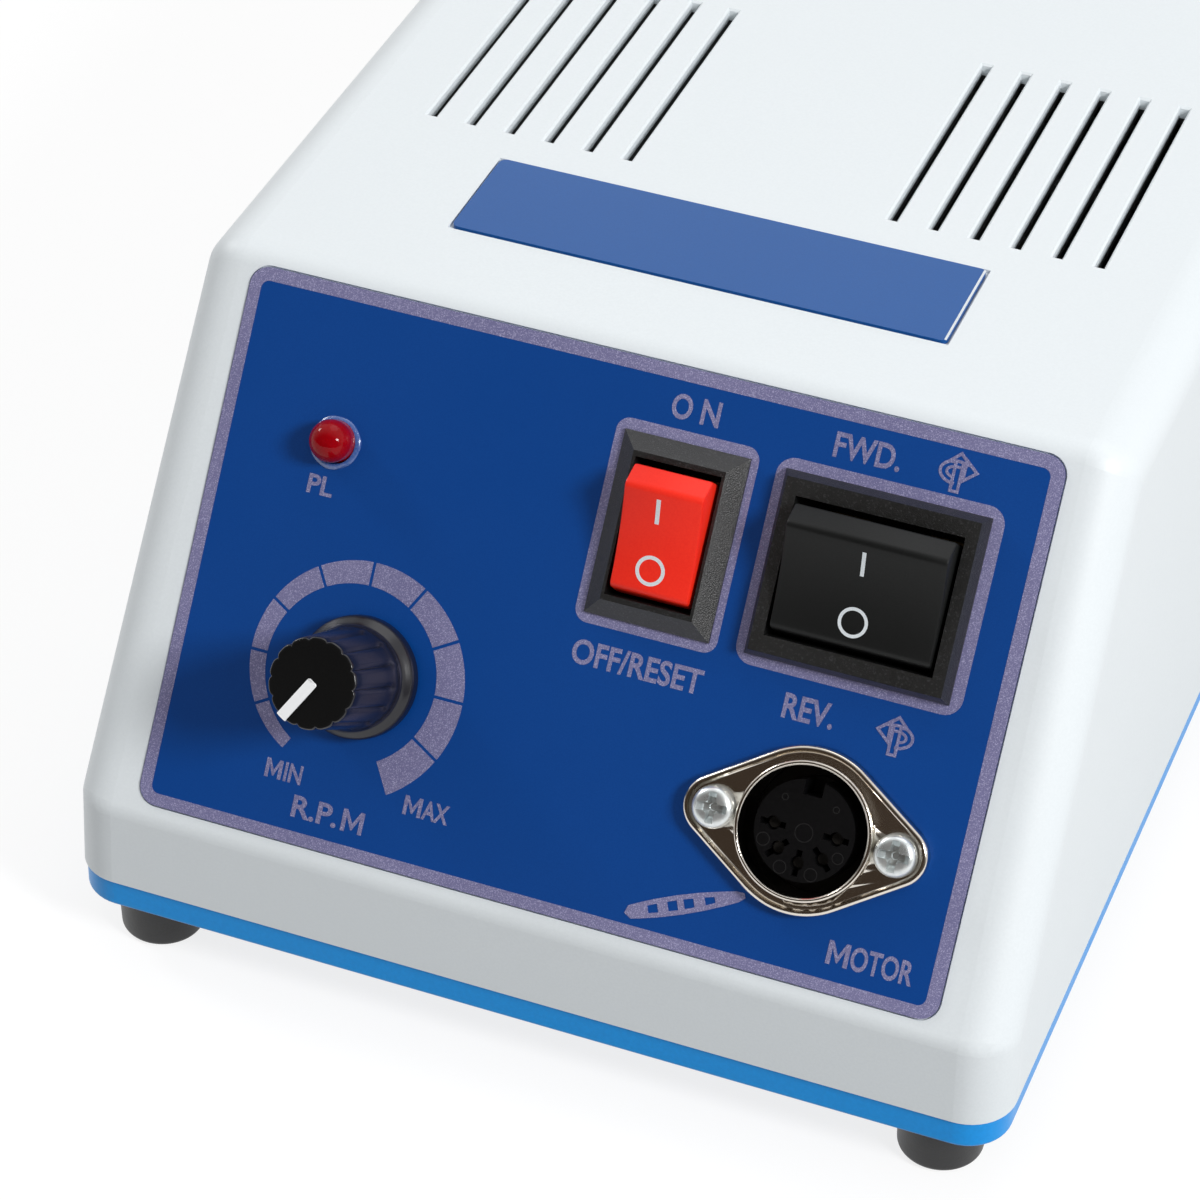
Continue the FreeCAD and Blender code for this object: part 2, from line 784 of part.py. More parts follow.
def rocker(place, width):
    # level form about the pivot, then tipped with its lower end pressed
    nose, edge, skirt = rocker_nose, rocker_edge, rocker_skirt
    middle = vec(0, 0, edge[1] - rocker_dish)
    left = vec(0, -edge[0], edge[1])
    right = vec(0, edge[0], edge[1])
    rim = [right, vec(0, nose[0], nose[1]), vec(0, skirt[0], skirt[1]),
           vec(0, -skirt[0], skirt[1]), vec(0, -nose[0], nose[1]), left]
    edges = [Part.Arc(left, middle, right).toShape()]
    edges += [Part.LineSegment(a, b).toShape() for a, b in zip(rim, rim[1:])]
    body = Part.Face(Part.Wire(edges)).extrude(vec(width, 0, 0))
    body.translate(vec(-width / 2, 0, 0))
    half = width / 2 + pivot_pin_length
    pins = Part.makeCylinder(pivot_pin_radius, 2 * half, vec(-half, 0, 0), vec(1, 0, 0))
    body = joined([body, pins])
    body.rotate(vec(0, 0, 0), vec(1, 0, 0), rocker_tilt)
    body.translate(vec(place[0], place[1], pivot_height))
    return on_panel(body)


# Speed knob and potentiometer

def knob_outline():
    arc_steps = 4
    points = [(0.0, knob_height)]
    for step in range(arc_steps + 1):
        turn = math.pi / 2 * (1 - step / arc_steps)
        points.append((cap_radius - knob_cap_round * (1 - math.cos(turn)),
                       knob_height - knob_cap_round * (1 - math.sin(turn))))
    points += [(waist_radius, waist_height), (collar_radius, collar_high), (collar_radius, collar_low),
               (skirt_radius, skirt_height), (skirt_radius, 0.0), (0.0, 0.0)]
    return points


def speed_knob():
    body = revolved(knob_outline())
    recess = rod(knob_recess_radius, -1, knob_recess_height)
    bore_top = knob_recess_height + shaft_bore_depth
    bore = rod(shaft_radius + running_gap, -1, bore_top)
    flutes = []
    lean = math.atan2(waist_radius - cap_radius, knob_height - waist_height)
    start = vec(waist_radius + flute_radius - flute_depth, 0, waist_height)
    for index in range(flute_count):
        groove = Part.makeCylinder(flute_radius, knob_height, start)
        groove.rotate(start, vec(0, 1, 0), -math.degrees(lean))
        groove.rotate(vec(0, 0, 0), vec(0, 0, 1), 360.0 * index / flute_count)
        flutes.append(groove)
    body = body.cut([recess, bore] + flutes).cut(pointer_bar())
    return on_panel(moved(body, *knob_place, plate_proud + knob_lift))


def pointer_bar():
    base = knob_height - pointer_depth
    tip = knob_height + pointer_proud
    bar = block(-pointer_tail, 2 * cap_radius, -pointer_width / 2, pointer_width / 2, base, tip)
    inner = [e for e in edges_along(bar, vec(0, 0, 1)) if e.BoundBox.XMax < 0]
    bar = bar.makeFillet(pointer_round, inner).common(rod(cap_radius, base, tip))
    bar.rotate(vec(0, 0, 0), vec(0, 0, 1), pointer_angle)
    return bar


def knob_pointer():
    return on_panel(moved(pointer_bar(), *knob_place, plate_proud + knob_lift))


def pot_shaft():
    tip = plate_proud + knob_lift + knob_recess_height + shaft_bore_depth - running_gap
    rotor_low = -wall - pot_depth / 2 - rotor_height / 2
    shaft = rod(shaft_radius, rotor_low, tip)
    rotor = rod(rotor_radius, rotor_low, rotor_low + rotor_height)
    return on_panel(moved(joined([shaft, rotor]), *knob_place, 0))


def pot_body():
    # the can is seated against the back of the panel wall
    base = -wall
    can = rod(pot_radius, base - pot_depth, base)
    bushing = rod(bushing_radius, base - pot_wall, bushing_reach)
    hollow = rod(rotor_radius + hole_clearance, base - pot_depth + pot_wall, base - pot_wall)
    bore = rod(shaft_radius + running_gap, base - pot_wall - 1, bushing_reach + 1)
    body = joined([can, bushing]).cut([hollow, bore] + pot_tag_shapes(0.0))
    return on_panel(moved(body, *knob_place, 0))


def pot_tag_shapes(gap):
    # three tags in a row; inside the can they are cut back to its hollow
    middle = -wall - pot_depth / 2
    high = tag_thickness / 2 + gap
    half = tag_width / 2 + gap
    tags = [block(x - half, x + half, -pot_radius - tag_length, -rotor_radius / 2,
                  middle - high, middle + high) for x in (-tag_pitch, 0, tag_pitch)]
    hollow = rod(pot_radius - pot_wall + tag_root, middle - pot_depth, middle + pot_depth)
    return [tag.cut(hollow) for tag in tags]


def pot_tags():
    return on_panel(moved(group(pot_tag_shapes(0.0)), *knob_place, 0))


def pot_washer():
    washer = tube(washer_radius, bushing_radius + thread_clearance,
                  plate_proud, plate_proud + washer_thickness)
    return on_panel(moved(washer, *knob_place, 0))


def pot_nut():
    low = plate_proud + washer_thickness
    high = low + pot_nut_height
    nut = hexagon(nut_across, low, high).cut(rod(bushing_radius + thread_clearance, low, high))
    return on_panel(moved(nut, *knob_place, 0))


# Motor socket

def flange_slab(inset, z_from, z_to):
    # two small ends joined to a large middle by straight tangents
    span = socket_screw_spacing / 2
    middle = flange_radius - inset
    end = flange_end_radius - inset
    lean = math.acos((middle - end) / span)

    def spot(cx, radius, turn):
        return vec(cx + radius * math.cos(turn), radius * math.sin(turn), 0)

    def arc(cx, radius, start, middle, end):
        return Part.Arc(spot(cx, radius, start), spot(cx, radius, middle), spot(cx, radius, end)).toShape()

    def line(start, end):
        return Part.LineSegment(start, end).toShape()

    outline = Part.Wire([
        arc(span, end, -lean, 0, lean),
        line(spot(span, end, lean), spot(0, middle, lean)),
        arc(0, middle, lean, math.pi / 2, math.pi - lean),
        line(spot(0, middle, math.pi - lean), spot(-span, end, math.pi - lean)),
        arc(-span, end, math.pi - lean, math.pi, math.pi + lean),
        line(spot(-span, end, math.pi + lean), spot(0, middle, math.pi + lean)),
        arc(0, middle, math.pi + lean, 3 * math.pi / 2, 2 * math.pi - lean),
        line(spot(0, middle, -lean), spot(span, end, -lean))])
    return moved(Part.Face(outline).extrude(vec(0, 0, z_to - z_from)), 0, 0, z_from)


def motor_socket_shell():
    seat = plate_proud
    flange = flange_slab(0, seat, seat + flange_rim)
    flange = flange.makeFillet(flange_round, edges_above(flange, seat + flange_rim))
    dish = flange_slab(flange_rim_width, seat + flange_thickness, seat + 2 * flange_rim)
    flange = flange.cut(dish.makeFillet(dish_round, edges_below(dish, seat + flange_thickness)))
    ring = rod(socket_ring_radius, seat + flange_thickness / 2, seat + socket_ring_height)
    ring = ring.makeFillet(socket_ring_round, edges_above(ring, seat + socket_ring_height))
    barrel = rod(barrel_radius, seat - barrel_depth, seat + flange_thickness / 2)
    body = joined([flange, ring, barrel])
    mouth = rod(socket_mouth_radius, seat - barrel_depth + insert_base, seat + 2 * socket_ring_height)
    back = rod(socket_mouth_radius - barrel_lip, seat - 2 * barrel_depth, seat)
    holes = [rod(socket_screw_radius + hole_clearance, seat - 1, seat + 2 * flange_thickness,
                 side * socket_screw_spacing / 2) for side in (-1, 1)]
    return on_panel(moved(body.cut([mouth, back] + holes), *socket_place, 0))


def contact_places():
    places = []
    for index in range(contact_count):
        turn = math.pi * (1 + index / (contact_count - 1))
        places.append((contact_circle * math.cos(turn), contact_circle * math.sin(turn), turn))
    return places


def motor_socket_insert():
    face = insert_face
    back = plate_proud - barrel_depth
    flange = socket_mouth_radius - insert_gap
    body = joined([rod(insert_radius, back, face), rod(flange - barrel_lip, back, back + insert_base),
                   rod(flange, back + insert_base, back + 2 * insert_base)])
    cuts = [slab(key_width, 2 * key_depth, face - key_length, face + 1, 0, insert_radius)]
    for x, y, turn in contact_places():
        cuts.append(rod(contact_hole_radius, face - contact_slot_depth, face + 1, x, y))
        cuts.append(rod(contact_radius + running_gap / 2, back - 1, face + 1, x, y))
        slot = slab(2 * contact_slot_reach, contact_slot_width, face - contact_slot_depth, face + 1)
        slot.rotate(vec(0, 0, 0), vec(0, 0, 1), math.degrees(turn))
        slot.translate(vec(x, y, 0))
        cuts.append(slot)
    return on_panel(moved(body.cut(cuts), *socket_place, 0))


def motor_socket_contacts():
    back = plate_proud - barrel_depth
    pins = [rod(contact_radius, back - contact_tail, insert_face - contact_recess, x, y)
            for x, y, turn in contact_places()]
    return on_panel(moved(group(pins), *socket_place, 0))


def socket_screws():
    seat = plate_proud + flange_thickness
    reach = seat + wall + m3_nut_height + screw_tail
    screw = pan_screw(socket_screw_radius, socket_screw_head_radius, socket_screw_head, reach)
    pair = group([moved(screw, side * socket_screw_spacing / 2, 0, seat) for side in (-1, 1)])
    return on_panel(moved(pair, *socket_place, 0))


def nut_pair(spacing):
    # nuts that bear on the back of a wall
    low = -wall - m3_nut_height
    nut = hexagon(m3_nut_across, low, -wall).cut(rod(socket_screw_radius + thread_clearance, low, -wall))
    return group([moved(nut, side * spacing / 2, 0, 0) for side in (-1, 1)])


def socket_nuts():
    return on_panel(moved(nut_pair(socket_screw_spacing), *socket_place, 0))


# Mains inlet

def inlet_mouth(z_from, z_to):
    # the two corners beside the earth pin are cut off
    half, rise, cut = inlet_mouth_width / 2, inlet_mouth_height / 2, inlet_corner_cut
    corners = [(-half, -rise), (half, -rise), (half, rise - cut), (half - cut, rise),
               (-half + cut, rise), (-half, rise - cut)]
    points = [vec(x, y, z_from) for x, y in corners + corners[:1]]
    return Part.Face(Part.makePolygon(points)).extrude(vec(0, 0, z_to - z_from))


def inlet_floor():
    return inlet_flange_thickness - inlet_mouth_depth


def inlet_blades(gap):
    # line, neutral and earth, each a flat pin with its tag behind
    base = -inlet_body_depth - pin_tail
    tip = inlet_floor() + pin_reach
    places = [(-pin_side, -line_pin_drop), (pin_side, -line_pin_drop), (0, earth_pin_rise - line_pin_drop)]
    return [slab(pin_thickness + 2 * gap, pin_width + 2 * gap, base, tip, x, y) for x, y in places]


def mains_inlet():
    flange = rounded_slab(inlet_flange_width, inlet_flange_height, 0, inlet_flange_thickness,
                          inlet_flange_corner)
    box = slab(inlet_body_width, inlet_body_height, -inlet_body_depth, inlet_flange_thickness / 2)
    high = 2 * inlet_flange_thickness
    mouth = inlet_mouth(inlet_floor(), high)
    holes = [rod(socket_screw_radius + hole_clearance, -1, high, side * inlet_screw_spacing / 2)
             for side in (-1, 1)]
    body = joined([flange, box]).cut([mouth] + holes + inlet_blades(running_gap / 2))
    return on_rear(body, inlet_place)


def mains_inlet_pins():
    pins = []
    for blade in inlet_blades(0.0):
        pins.append(blade.makeChamfer(pin_thickness / 4, edges_above(blade, inlet_floor() + pin_reach)))
    return on_rear(group(pins), inlet_place)


def mains_inlet_screws():
    reach = inlet_flange_thickness + wall + m3_nut_height + screw_tail
    screw = pan_screw(socket_screw_radius, socket_screw_head_radius, socket_screw_head, reach)
    return on_rear(group([moved(screw, side * inlet_screw_spacing / 2, 0, inlet_flange_thickness)
                          for side in (-1, 1)]), inlet_place)


def mains_inlet_nuts():
    return on_rear(nut_pair(inlet_screw_spacing), inlet_place)


# Fuse holder, its cap and the fuse that the cap draws out

def fuse_foot():
    # inner end of the fuse, on the holder's floor
    return fuse_flange - fuse_plug_length + fuse_grip - fuse_length


def fuse_holder():
    barrel = rod(fuse_barrel_radius, -fuse_barrel_depth, fuse_flange / 2)
    flange = rod(fuse_flange_radius, 0, fuse_flange)
    body = joined([barrel, flange.makeFillet(fuse_flange_round, edges_above(flange, fuse_flange))])
    bore = rod(fuse_bore_radius, fuse_flange - fuse_plug_length - fuse_plug_play, 2 * fuse_flange)
    well = rod(fuse_well_radius, fuse_foot(), 0)
    return on_rear(body.cut([bore, well]), fuse_place)


def fuse_nut():
    low = -wall - fuse_nut_height
    nut = hexagon(fuse_nut_across, low, -wall)
    return on_rear(nut.cut(rod(fuse_barrel_radius + thread_clearance, low, -wall)), fuse_place)


def fuse_cap():
    tip = fuse_flange + fuse_cap_height
    head = rod(fuse_cap_radius, fuse_flange, tip)
    head = head.makeFillet(fuse_cap_round, edges_above(head, tip))
    inner = fuse_flange - fuse_plug_length
    plug = rod(fuse_plug_radius, inner, fuse_flange + 1)
    grip = rod(fuse_radius + hole_clearance, inner - 1, inner + fuse_grip)
    slot = slab(4 * fuse_cap_radius, fuse_slot_width, tip - fuse_slot_depth, tip + 1)
    return on_rear(joined([head, plug]).cut([grip, slot]), fuse_place)


def glass_rod():
    low = fuse_foot()
    return rod(fuse_radius - fuse_end_wall, low + fuse_end_wall, low + fuse_length - fuse_end_wall)


def fuse_glass():
    return on_rear(glass_rod(), fuse_place)


def fuse_ends():
    low = fuse_foot()
    high = low + fuse_length
    ends = [rod(fuse_radius, low, low + fuse_end_length).cut(glass_rod()),
            rod(fuse_radius, high - fuse_end_length, high).cut(glass_rod())]
    return on_rear(group(ends), fuse_place)


# Foot pedal jack

def pedal_jack():
    bush = rod(jack_bush_radius, -wall - 1, jack_bush_reach)
    body = slab(jack_body_width, jack_body_height, -wall - jack_body_depth, -wall)
    body = body.makeFillet(jack_body_round, edges_along(body, vec(0, 0, 1)))
    bore = rod(jack_bore_radius, jack_bush_reach - jack_bore_depth, jack_bush_reach + 1)
    return on_rear(joined([bush, body]).cut([bore] + jack_tag_shapes(running_gap / 2)), jack_place)


def jack_tag_shapes(gap):
    back = -wall - jack_body_depth
    return [slab(tag_thickness + 2 * gap, jack_tag_width + 2 * gap,
                 back - jack_tag_length, back + jack_tag_root, x) for x in (-tag_pitch, tag_pitch)]


def pedal_jack_tags():
    return on_rear(group(jack_tag_shapes(0.0)), jack_place)


def pedal_jack_nut():
    nut = hexagon(jack_nut_across, 0, jack_nut_height)
    return on_rear(nut.cut(rod(jack_bush_radius + thread_clearance, 0, jack_nut_height)), jack_place)


# Hand or foot slide switch, fixed from behind the wall

def mode_switch():
    ear = slab(mode_ear_width, mode_body_height, -wall - mode_ear_thickness, -wall)
    ear = ear.makeFillet(mode_ear_corner, edges_along(ear, vec(0, 0, 1)))
    base = -wall - mode_ear_thickness
    body = joined([ear, slab(mode_body_width, mode_body_height, base - mode_body_depth, base)])
    room = mode_travel + 2 * mode_gap
    foot_floor = base - mode_foot_thickness - 2 * mode_gap
    cuts = [slab(mode_foot_width + room, mode_foot_height + 2 * mode_gap, foot_floor, base),
            slab(mode_knob_width + room, mode_knob_height + 2 * mode_gap, base - 1, wall)]
    cuts += [rod(small_screw_radius + thread_clearance, 2 * base, 0, side * mode_screw_spacing / 2)
             for side in (-1, 1)]
    return on_rear(body.cut(cuts), mode_place)


def mode_slider():
    base = -wall - mode_ear_thickness
    x = -mode_travel / 2
    top = base - mode_gap
    foot = slab(mode_foot_width, mode_foot_height, top - mode_foot_thickness, top, x)
    knob = slab(mode_knob_width, mode_knob_height, top - 1, mode_knob_reach, x)
    body = joined([foot, knob])
    groove_floor = mode_knob_reach - mode_groove
    grooves = [slab(mode_groove, mode_knob_height + 1, groove_floor, mode_knob_reach + 1, x + step)
               for step in (-mode_groove_pitch, 0, mode_groove_pitch)]
    return on_rear(body.cut(grooves), mode_place)


def mode_switch_screws():
    reach = wall + mode_ear_thickness + screw_tail
    screw = pan_screw(small_screw_radius, small_head_radius, small_head, reach)
    pair = group([moved(screw, side * mode_screw_spacing / 2, 0, 0) for side in (-1, 1)])
    return on_rear(pair, mode_place)


# Transformer

def on_transformer(shape):
    return moved(shape, transformer_place[0], middle_y + transformer_place[1], floor_z)


def transformer_core():
    a = limb_width
    body = block(-3 * a, 3 * a, -stack_depth / 2, stack_depth / 2, 0, core_height)
    windows = [block(low, low + a, -stack_depth, stack_depth, a, 4 * a) for low in (-2 * a, a)]
    return on_transformer(body.cut(windows))


def bobbin_half():
    # half width and half depth of the bobbin's bore
    return limb_width + core_gap, stack_depth / 2 + core_gap


def upright_box(half_x, half_y, z_from, z_to):
    return block(-half_x, half_x, -half_y, half_y, z_from, z_to)


def transformer_bobbin():
    a = limb_width
    half_x, half_y = bobbin_half()
    low, high = a + core_gap, 4 * a - core_gap
    reach_x = 2 * a - core_gap
    reach_y = half_y + bobbin_wall + winding_reach
    tube_box = upright_box(half_x + bobbin_wall, half_y + bobbin_wall, low, high)
    flanges = [upright_box(reach_x, reach_y, z, z + bobbin_wall) for z in (low, high - bobbin_wall)]
    body = joined([tube_box] + flanges)
    return on_transformer(body.cut(upright_box(half_x, half_y, low - 1, high + 1)))


def transformer_windings():
    a = limb_width
    half_x, half_y = bobbin_half()
    low, high = a + core_gap + bobbin_wall, 4 * a - core_gap - bobbin_wall
    outer = upright_box(2 * a - 2 * core_gap, half_y + bobbin_wall + winding_reach - core_gap, low, high)
    outer = outer.makeFillet(winding_round, edges_along(outer, vec(0, 0, 1)))
    return on_transformer(outer.cut(upright_box(half_x + bobbin_wall, half_y + bobbin_wall, low, high)))


def strap_reach():
    return 3 * limb_width + core_gap / 2 + strap_thickness


def strap_holes():
    x = strap_reach() + strap_hole_inset
    return [(transformer_place[0] + side * x, middle_y + transformer_place[1]) for side in (-1, 1)]


def transformer_strap():
    reach = strap_reach()
    height = core_height + strap_thickness
    outer = block(-reach, reach, -strap_width / 2, strap_width / 2, strap_seat, height)
    bends = [e for e in edges_along(outer, vec(0, 1, 0)) if e.BoundBox.ZMin > height - 1e-6]
    outer = outer.makeFillet(strap_bend, bends)
    inside = reach - strap_thickness
    inner = block(-inside, inside, -strap_width, strap_width, 0, height - strap_thickness)
    ears = slab(2 * (reach + strap_ear), strap_width, strap_seat, strap_seat + strap_thickness)
    body = joined([outer, ears]).cut(inner)
    holes = [rod(small_screw_radius + hole_clearance, 0, height, side * (reach + strap_hole_inset))
             for side in (-1, 1)]
    return on_transformer(body.cut(holes))


def transformer_screws():
    screw = pan_screw(small_screw_radius, small_head_radius, small_head, strap_thickness + strap_seat)
    z = floor_z + strap_seat + strap_thickness
    return group([moved(screw, x, y, z) for x, y in strap_holes()])


# Circuit board; places on it are X and the distance from its front edge

def board_top():
    return floor_z + board_rise + board_thickness


def on_board(shape, place):
    return moved(shape, place[0], middle_y - board_front + place[1], board_top())


def board_holes():
    x = board_width / 2 - board_hole_inset
    low = middle_y - board_front + board_hole_inset
    high = middle_y - board_front + board_length - board_hole_inset
    return [(-x, low), (x, low), (-x, high), (x, high)]


def circuit_board():
    middle = middle_y - board_front + board_length / 2
    board = slab(board_width, board_length, floor_z + board_rise, board_top(), 0, middle)
    return board.cut([rod(small_screw_radius + hole_clearance, floor_z, board_top() + 1, x, y)
                      for x, y in board_holes()])


def board_screws():
    screw = pan_screw(small_screw_radius, small_head_radius, small_head, board_thickness + board_rise / 2)
    return group([moved(screw, x, y, board_top()) for x, y in board_holes()])


def filter_capacitors():
    cans = []
    for place in capacitor_place:
        can = rod(capacitor_radius, 0, capacitor_height)
        can = can.makeFillet(capacitor_round, edges_above(can, capacitor_height))
        floor = capacitor_height - score_depth
        score = slab(score_length, score_width, floor, capacitor_height + 1)
        cross = slab(score_width, score_length, floor, capacitor_height + 1)
        cans.append(on_board(can.cut([score, cross]), place))
    return group(cans)


def bridge_rectifier():
    width, depth, height = rectifier_size
    body = slab(width, depth, 0, height)
    corner = [e for e in edges_along(body, vec(0, 1, 0))
              if e.BoundBox.ZMin > height - 1e-6 and e.BoundBox.XMin > 0]
    body = body.makeChamfer(rectifier_corner, corner)
    hole = Part.makeCylinder(rectifier_hole_radius, 2 * depth, vec(0, -depth, height / 2), vec(0, 1, 0))
    return on_board(body.cut(hole), rectifier_place)


def relay():
    width, depth, height = relay_size
    body = slab(width, depth, 0, height)
    upper = [e for e in body.Edges if e.BoundBox.ZMax > 1e-6]
    return on_board(body.makeFillet(relay_round, upper), relay_place)


def heat_sink():
    width, depth, height = heat_sink_size
    parts = [block(-width / 2, width / 2, depth / 2 - fin_base, depth / 2, 0, height)]
    pitch = (width - fin_thickness) / (fin_count - 1)
    for index in range(fin_count):
        x = -width / 2 + index * pitch
        parts.append(block(x, x + fin_thickness, -depth / 2, depth / 2 - fin_base / 2, 0, height))
    screw_hole = Part.makeCylinder(small_screw_radius + thread_clearance, depth,
                                   vec(0, 0, transistor_tab_hole()), vec(0, 1, 0))
    return on_board(joined(parts).cut(screw_hole), heat_sink_place)


def transistor_tab_hole():
    return transistor_rise + transistor_hole


def transistor_back():
    # rear face of the heat sink
    return heat_sink_size[1] / 2


def power_transistor():
    width, depth, height = transistor_size
    back = transistor_back()
    leg_y = back + depth / 2
    base = transistor_rise
    body = block(-width / 2, width / 2, back, back + depth, base, base + transistor_case)
    tab = block(-width / 2, width / 2, back, back + transistor_tab, base, base + height)
    legs = [slab(transistor_leg, transistor_leg, 0, base + 1, x, leg_y)
            for x in (-lead_spacing, 0, lead_spacing)]
    hole = Part.makeCylinder(small_screw_radius + hole_clearance, 2 * depth,
                             vec(0, back - 1, transistor_tab_hole()), vec(0, 1, 0))
    return on_board(joined([body, tab] + legs).cut(hole), heat_sink_place)


def transistor_screw():
    screw = pan_screw(small_screw_radius, small_head_radius, small_head, transistor_tab + fin_base)
    screw.rotate(vec(0, 0, 0), vec(1, 0, 0), -90)
    screw.translate(vec(0, transistor_back() + transistor_tab, transistor_tab_hole()))
    return on_board(screw, heat_sink_place)


def board_connectors():
    width, depth, height = connector_size
    shells = []
    for x in connector_xs:
        room = slab(width - 2 * connector_wall, depth - 2 * connector_wall, connector_floor, height + 1)
        pins = [slab(connector_pin, connector_pin, connector_floor / 2, height - connector_floor,
                     step * lead_spacing) for step in (-1.5, -0.5, 0.5, 1.5)]
        shell = slab(width, depth, 0, height).cut(room)
        shells.append(on_board(joined([shell] + pins), (x, connector_place)))
    return group(shells)


def resistors():
    bodies = []
    for index in range(resistor_count):
        axis = resistor_radius + lead_rise
        body = Part.makeCylinder(resistor_radius, resistor_length, vec(-resistor_length / 2, 0, axis),
                                 vec(1, 0, 0))
        feet = [rod(lead_radius, 0, axis, side * (resistor_length / 2 - 1)) for side in (-1, 1)]
        place = (resistor_place[0], resistor_place[1] + index * resistor_pitch)
        bodies.append(on_board(joined([body] + feet), place))
    return group(bodies)


def rubber_feet():
    names = ("foot_front_left", "foot_front_right", "foot_rear_left", "foot_rear_right")
    return {name: rubber_foot(x, y) for name, (x, y) in zip(names, post_places())}


def pieces():
    made = {
        "top_cover": top_cover(),
        "base_tray": base_tray(),
        "cover_screws": cover_screws(),
        "panel_plate": panel_plate(),
        "top_plate": top_plate(),
        "power_lamp": power_lamp(),
        "lamp_clip": lamp_clip(),
        "lamp_leads": lamp_leads(),
        "power_switch_body": switch_body(power_place, power_bezel_width, power_rocker_width,
                                         power_bevel, power_blade_rows),
        "power_switch_rocker": rocker(power_place, power_rocker_width),
        "power_switch_blades": switch_blades(power_place, power_bezel_width, power_blade_rows),
        "direction_switch_body": switch_body(direction_place, direction_bezel_width,
                                             direction_rocker_width, direction_bevel, direction_blade_rows),
        "direction_switch_rocker": rocker(direction_place, direction_rocker_width),
        "direction_switch_blades": switch_blades(direction_place, direction_bezel_width,
                                                 direction_blade_rows),
        "speed_knob": speed_knob(),
        "knob_pointer": knob_pointer(),
        "pot_shaft": pot_shaft(),
        "pot_body": pot_body(),
        "pot_tags": pot_tags(),
        "pot_washer": pot_washer(),
        "pot_nut": pot_nut(),
        "motor_socket_shell": motor_socket_shell(),
        "motor_socket_insert": motor_socket_insert(),
        "motor_socket_contacts": motor_socket_contacts(),
        "socket_screws": socket_screws(),
        "socket_nuts": socket_nuts(),
        "mains_inlet": mains_inlet(),
        "mains_inlet_pins": mains_inlet_pins(),
        "mains_inlet_screws": mains_inlet_screws(),
        "mains_inlet_nuts": mains_inlet_nuts(),
        "fuse_holder": fuse_holder(),
        "fuse_nut": fuse_nut(),
        "fuse_cap": fuse_cap(),
        "fuse_glass": fuse_glass(),
        "fuse_ends": fuse_ends(),
        "pedal_jack": pedal_jack(),
        "pedal_jack_tags": pedal_jack_tags(),
        "pedal_jack_nut": pedal_jack_nut(),
        "mode_switch": mode_switch(),
        "mode_slider": mode_slider(),
        "mode_switch_screws": mode_switch_screws(),
        "transformer_core": transformer_core(),
        "transformer_bobbin": transformer_bobbin(),
        "transformer_windings": transformer_windings(),
        "transformer_strap": transformer_strap(),
        "transformer_screws": transformer_screws(),
        "circuit_board": circuit_board(),
        "board_screws": board_screws(),
        "filter_capacitors": filter_capacitors(),
        "bridge_rectifier": bridge_rectifier(),
        "relay": relay(),
        "heat_sink": heat_sink(),
        "power_transistor": power_transistor(),
        "transistor_screw": transistor_screw(),
        "board_connectors": board_connectors(),
        "resistors": resistors(),
    }
    made.update(rubber_feet())
    return made


def print_joint(name, point, direction, travel=""):
    place = ", ".join("%.6f" % (value / 1000) for value in point)
    line = ", ".join("%.6f" % value for value in direction)
    print("%s at [%s] along [%s]%s" % (name, place, line, travel))


def print_joints():
    frame = panel_frame()
    outward = frame.Rotation.multVec(vec(0, 0, 1))
    print_joint("speed knob", frame.multVec(vec(*knob_place, 0)), outward * -1,
                ", turns %g degrees" % knob_travel)
    print_joint("motor socket", frame.multVec(vec(*socket_place, plate_proud)), outward)
    for name, place in (("power rocker", power_place), ("direction rocker", direction_place)):
        print_joint(name, frame.multVec(vec(*place, pivot_height)), vec(-1, 0, 0),
                    ", tilts %g degrees" % (2 * rocker_tilt))
    fuse_moves = ", turns %g degrees, draws out %g mm" % (fuse_turn, fuse_travel)
    for name, place, travel in (("mains inlet", inlet_place, ""), ("fuse", fuse_place, fuse_moves),
                                ("pedal jack", jack_place, ""),
                                ("mode slider", mode_place, ", slides %g mm" % mode_travel)):
        print_joint(name, rear_frame(place).Base, vec(0, 1, 0), travel)
    for x, y in post_places():
        print_joint("foot", vec(x, y, 0), vec(0, 0, -1))


os.makedirs("parts", exist_ok=True)
for node, solid in pieces().items():
    solid.exportStep("parts/" + node + ".step")
    box = solid.BoundBox
    size = "%.1f x %.1f x %.1f mm" % (box.XLength, box.YLength, box.ZLength)
    print("%s: %d solids, %s" % (node, len(solid.Solids), size))
print_joints()
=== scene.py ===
import bmesh
import bpy
import json
import math
from mathutils import Matrix, Vector
from mathutils.bvhtree import BVHTree

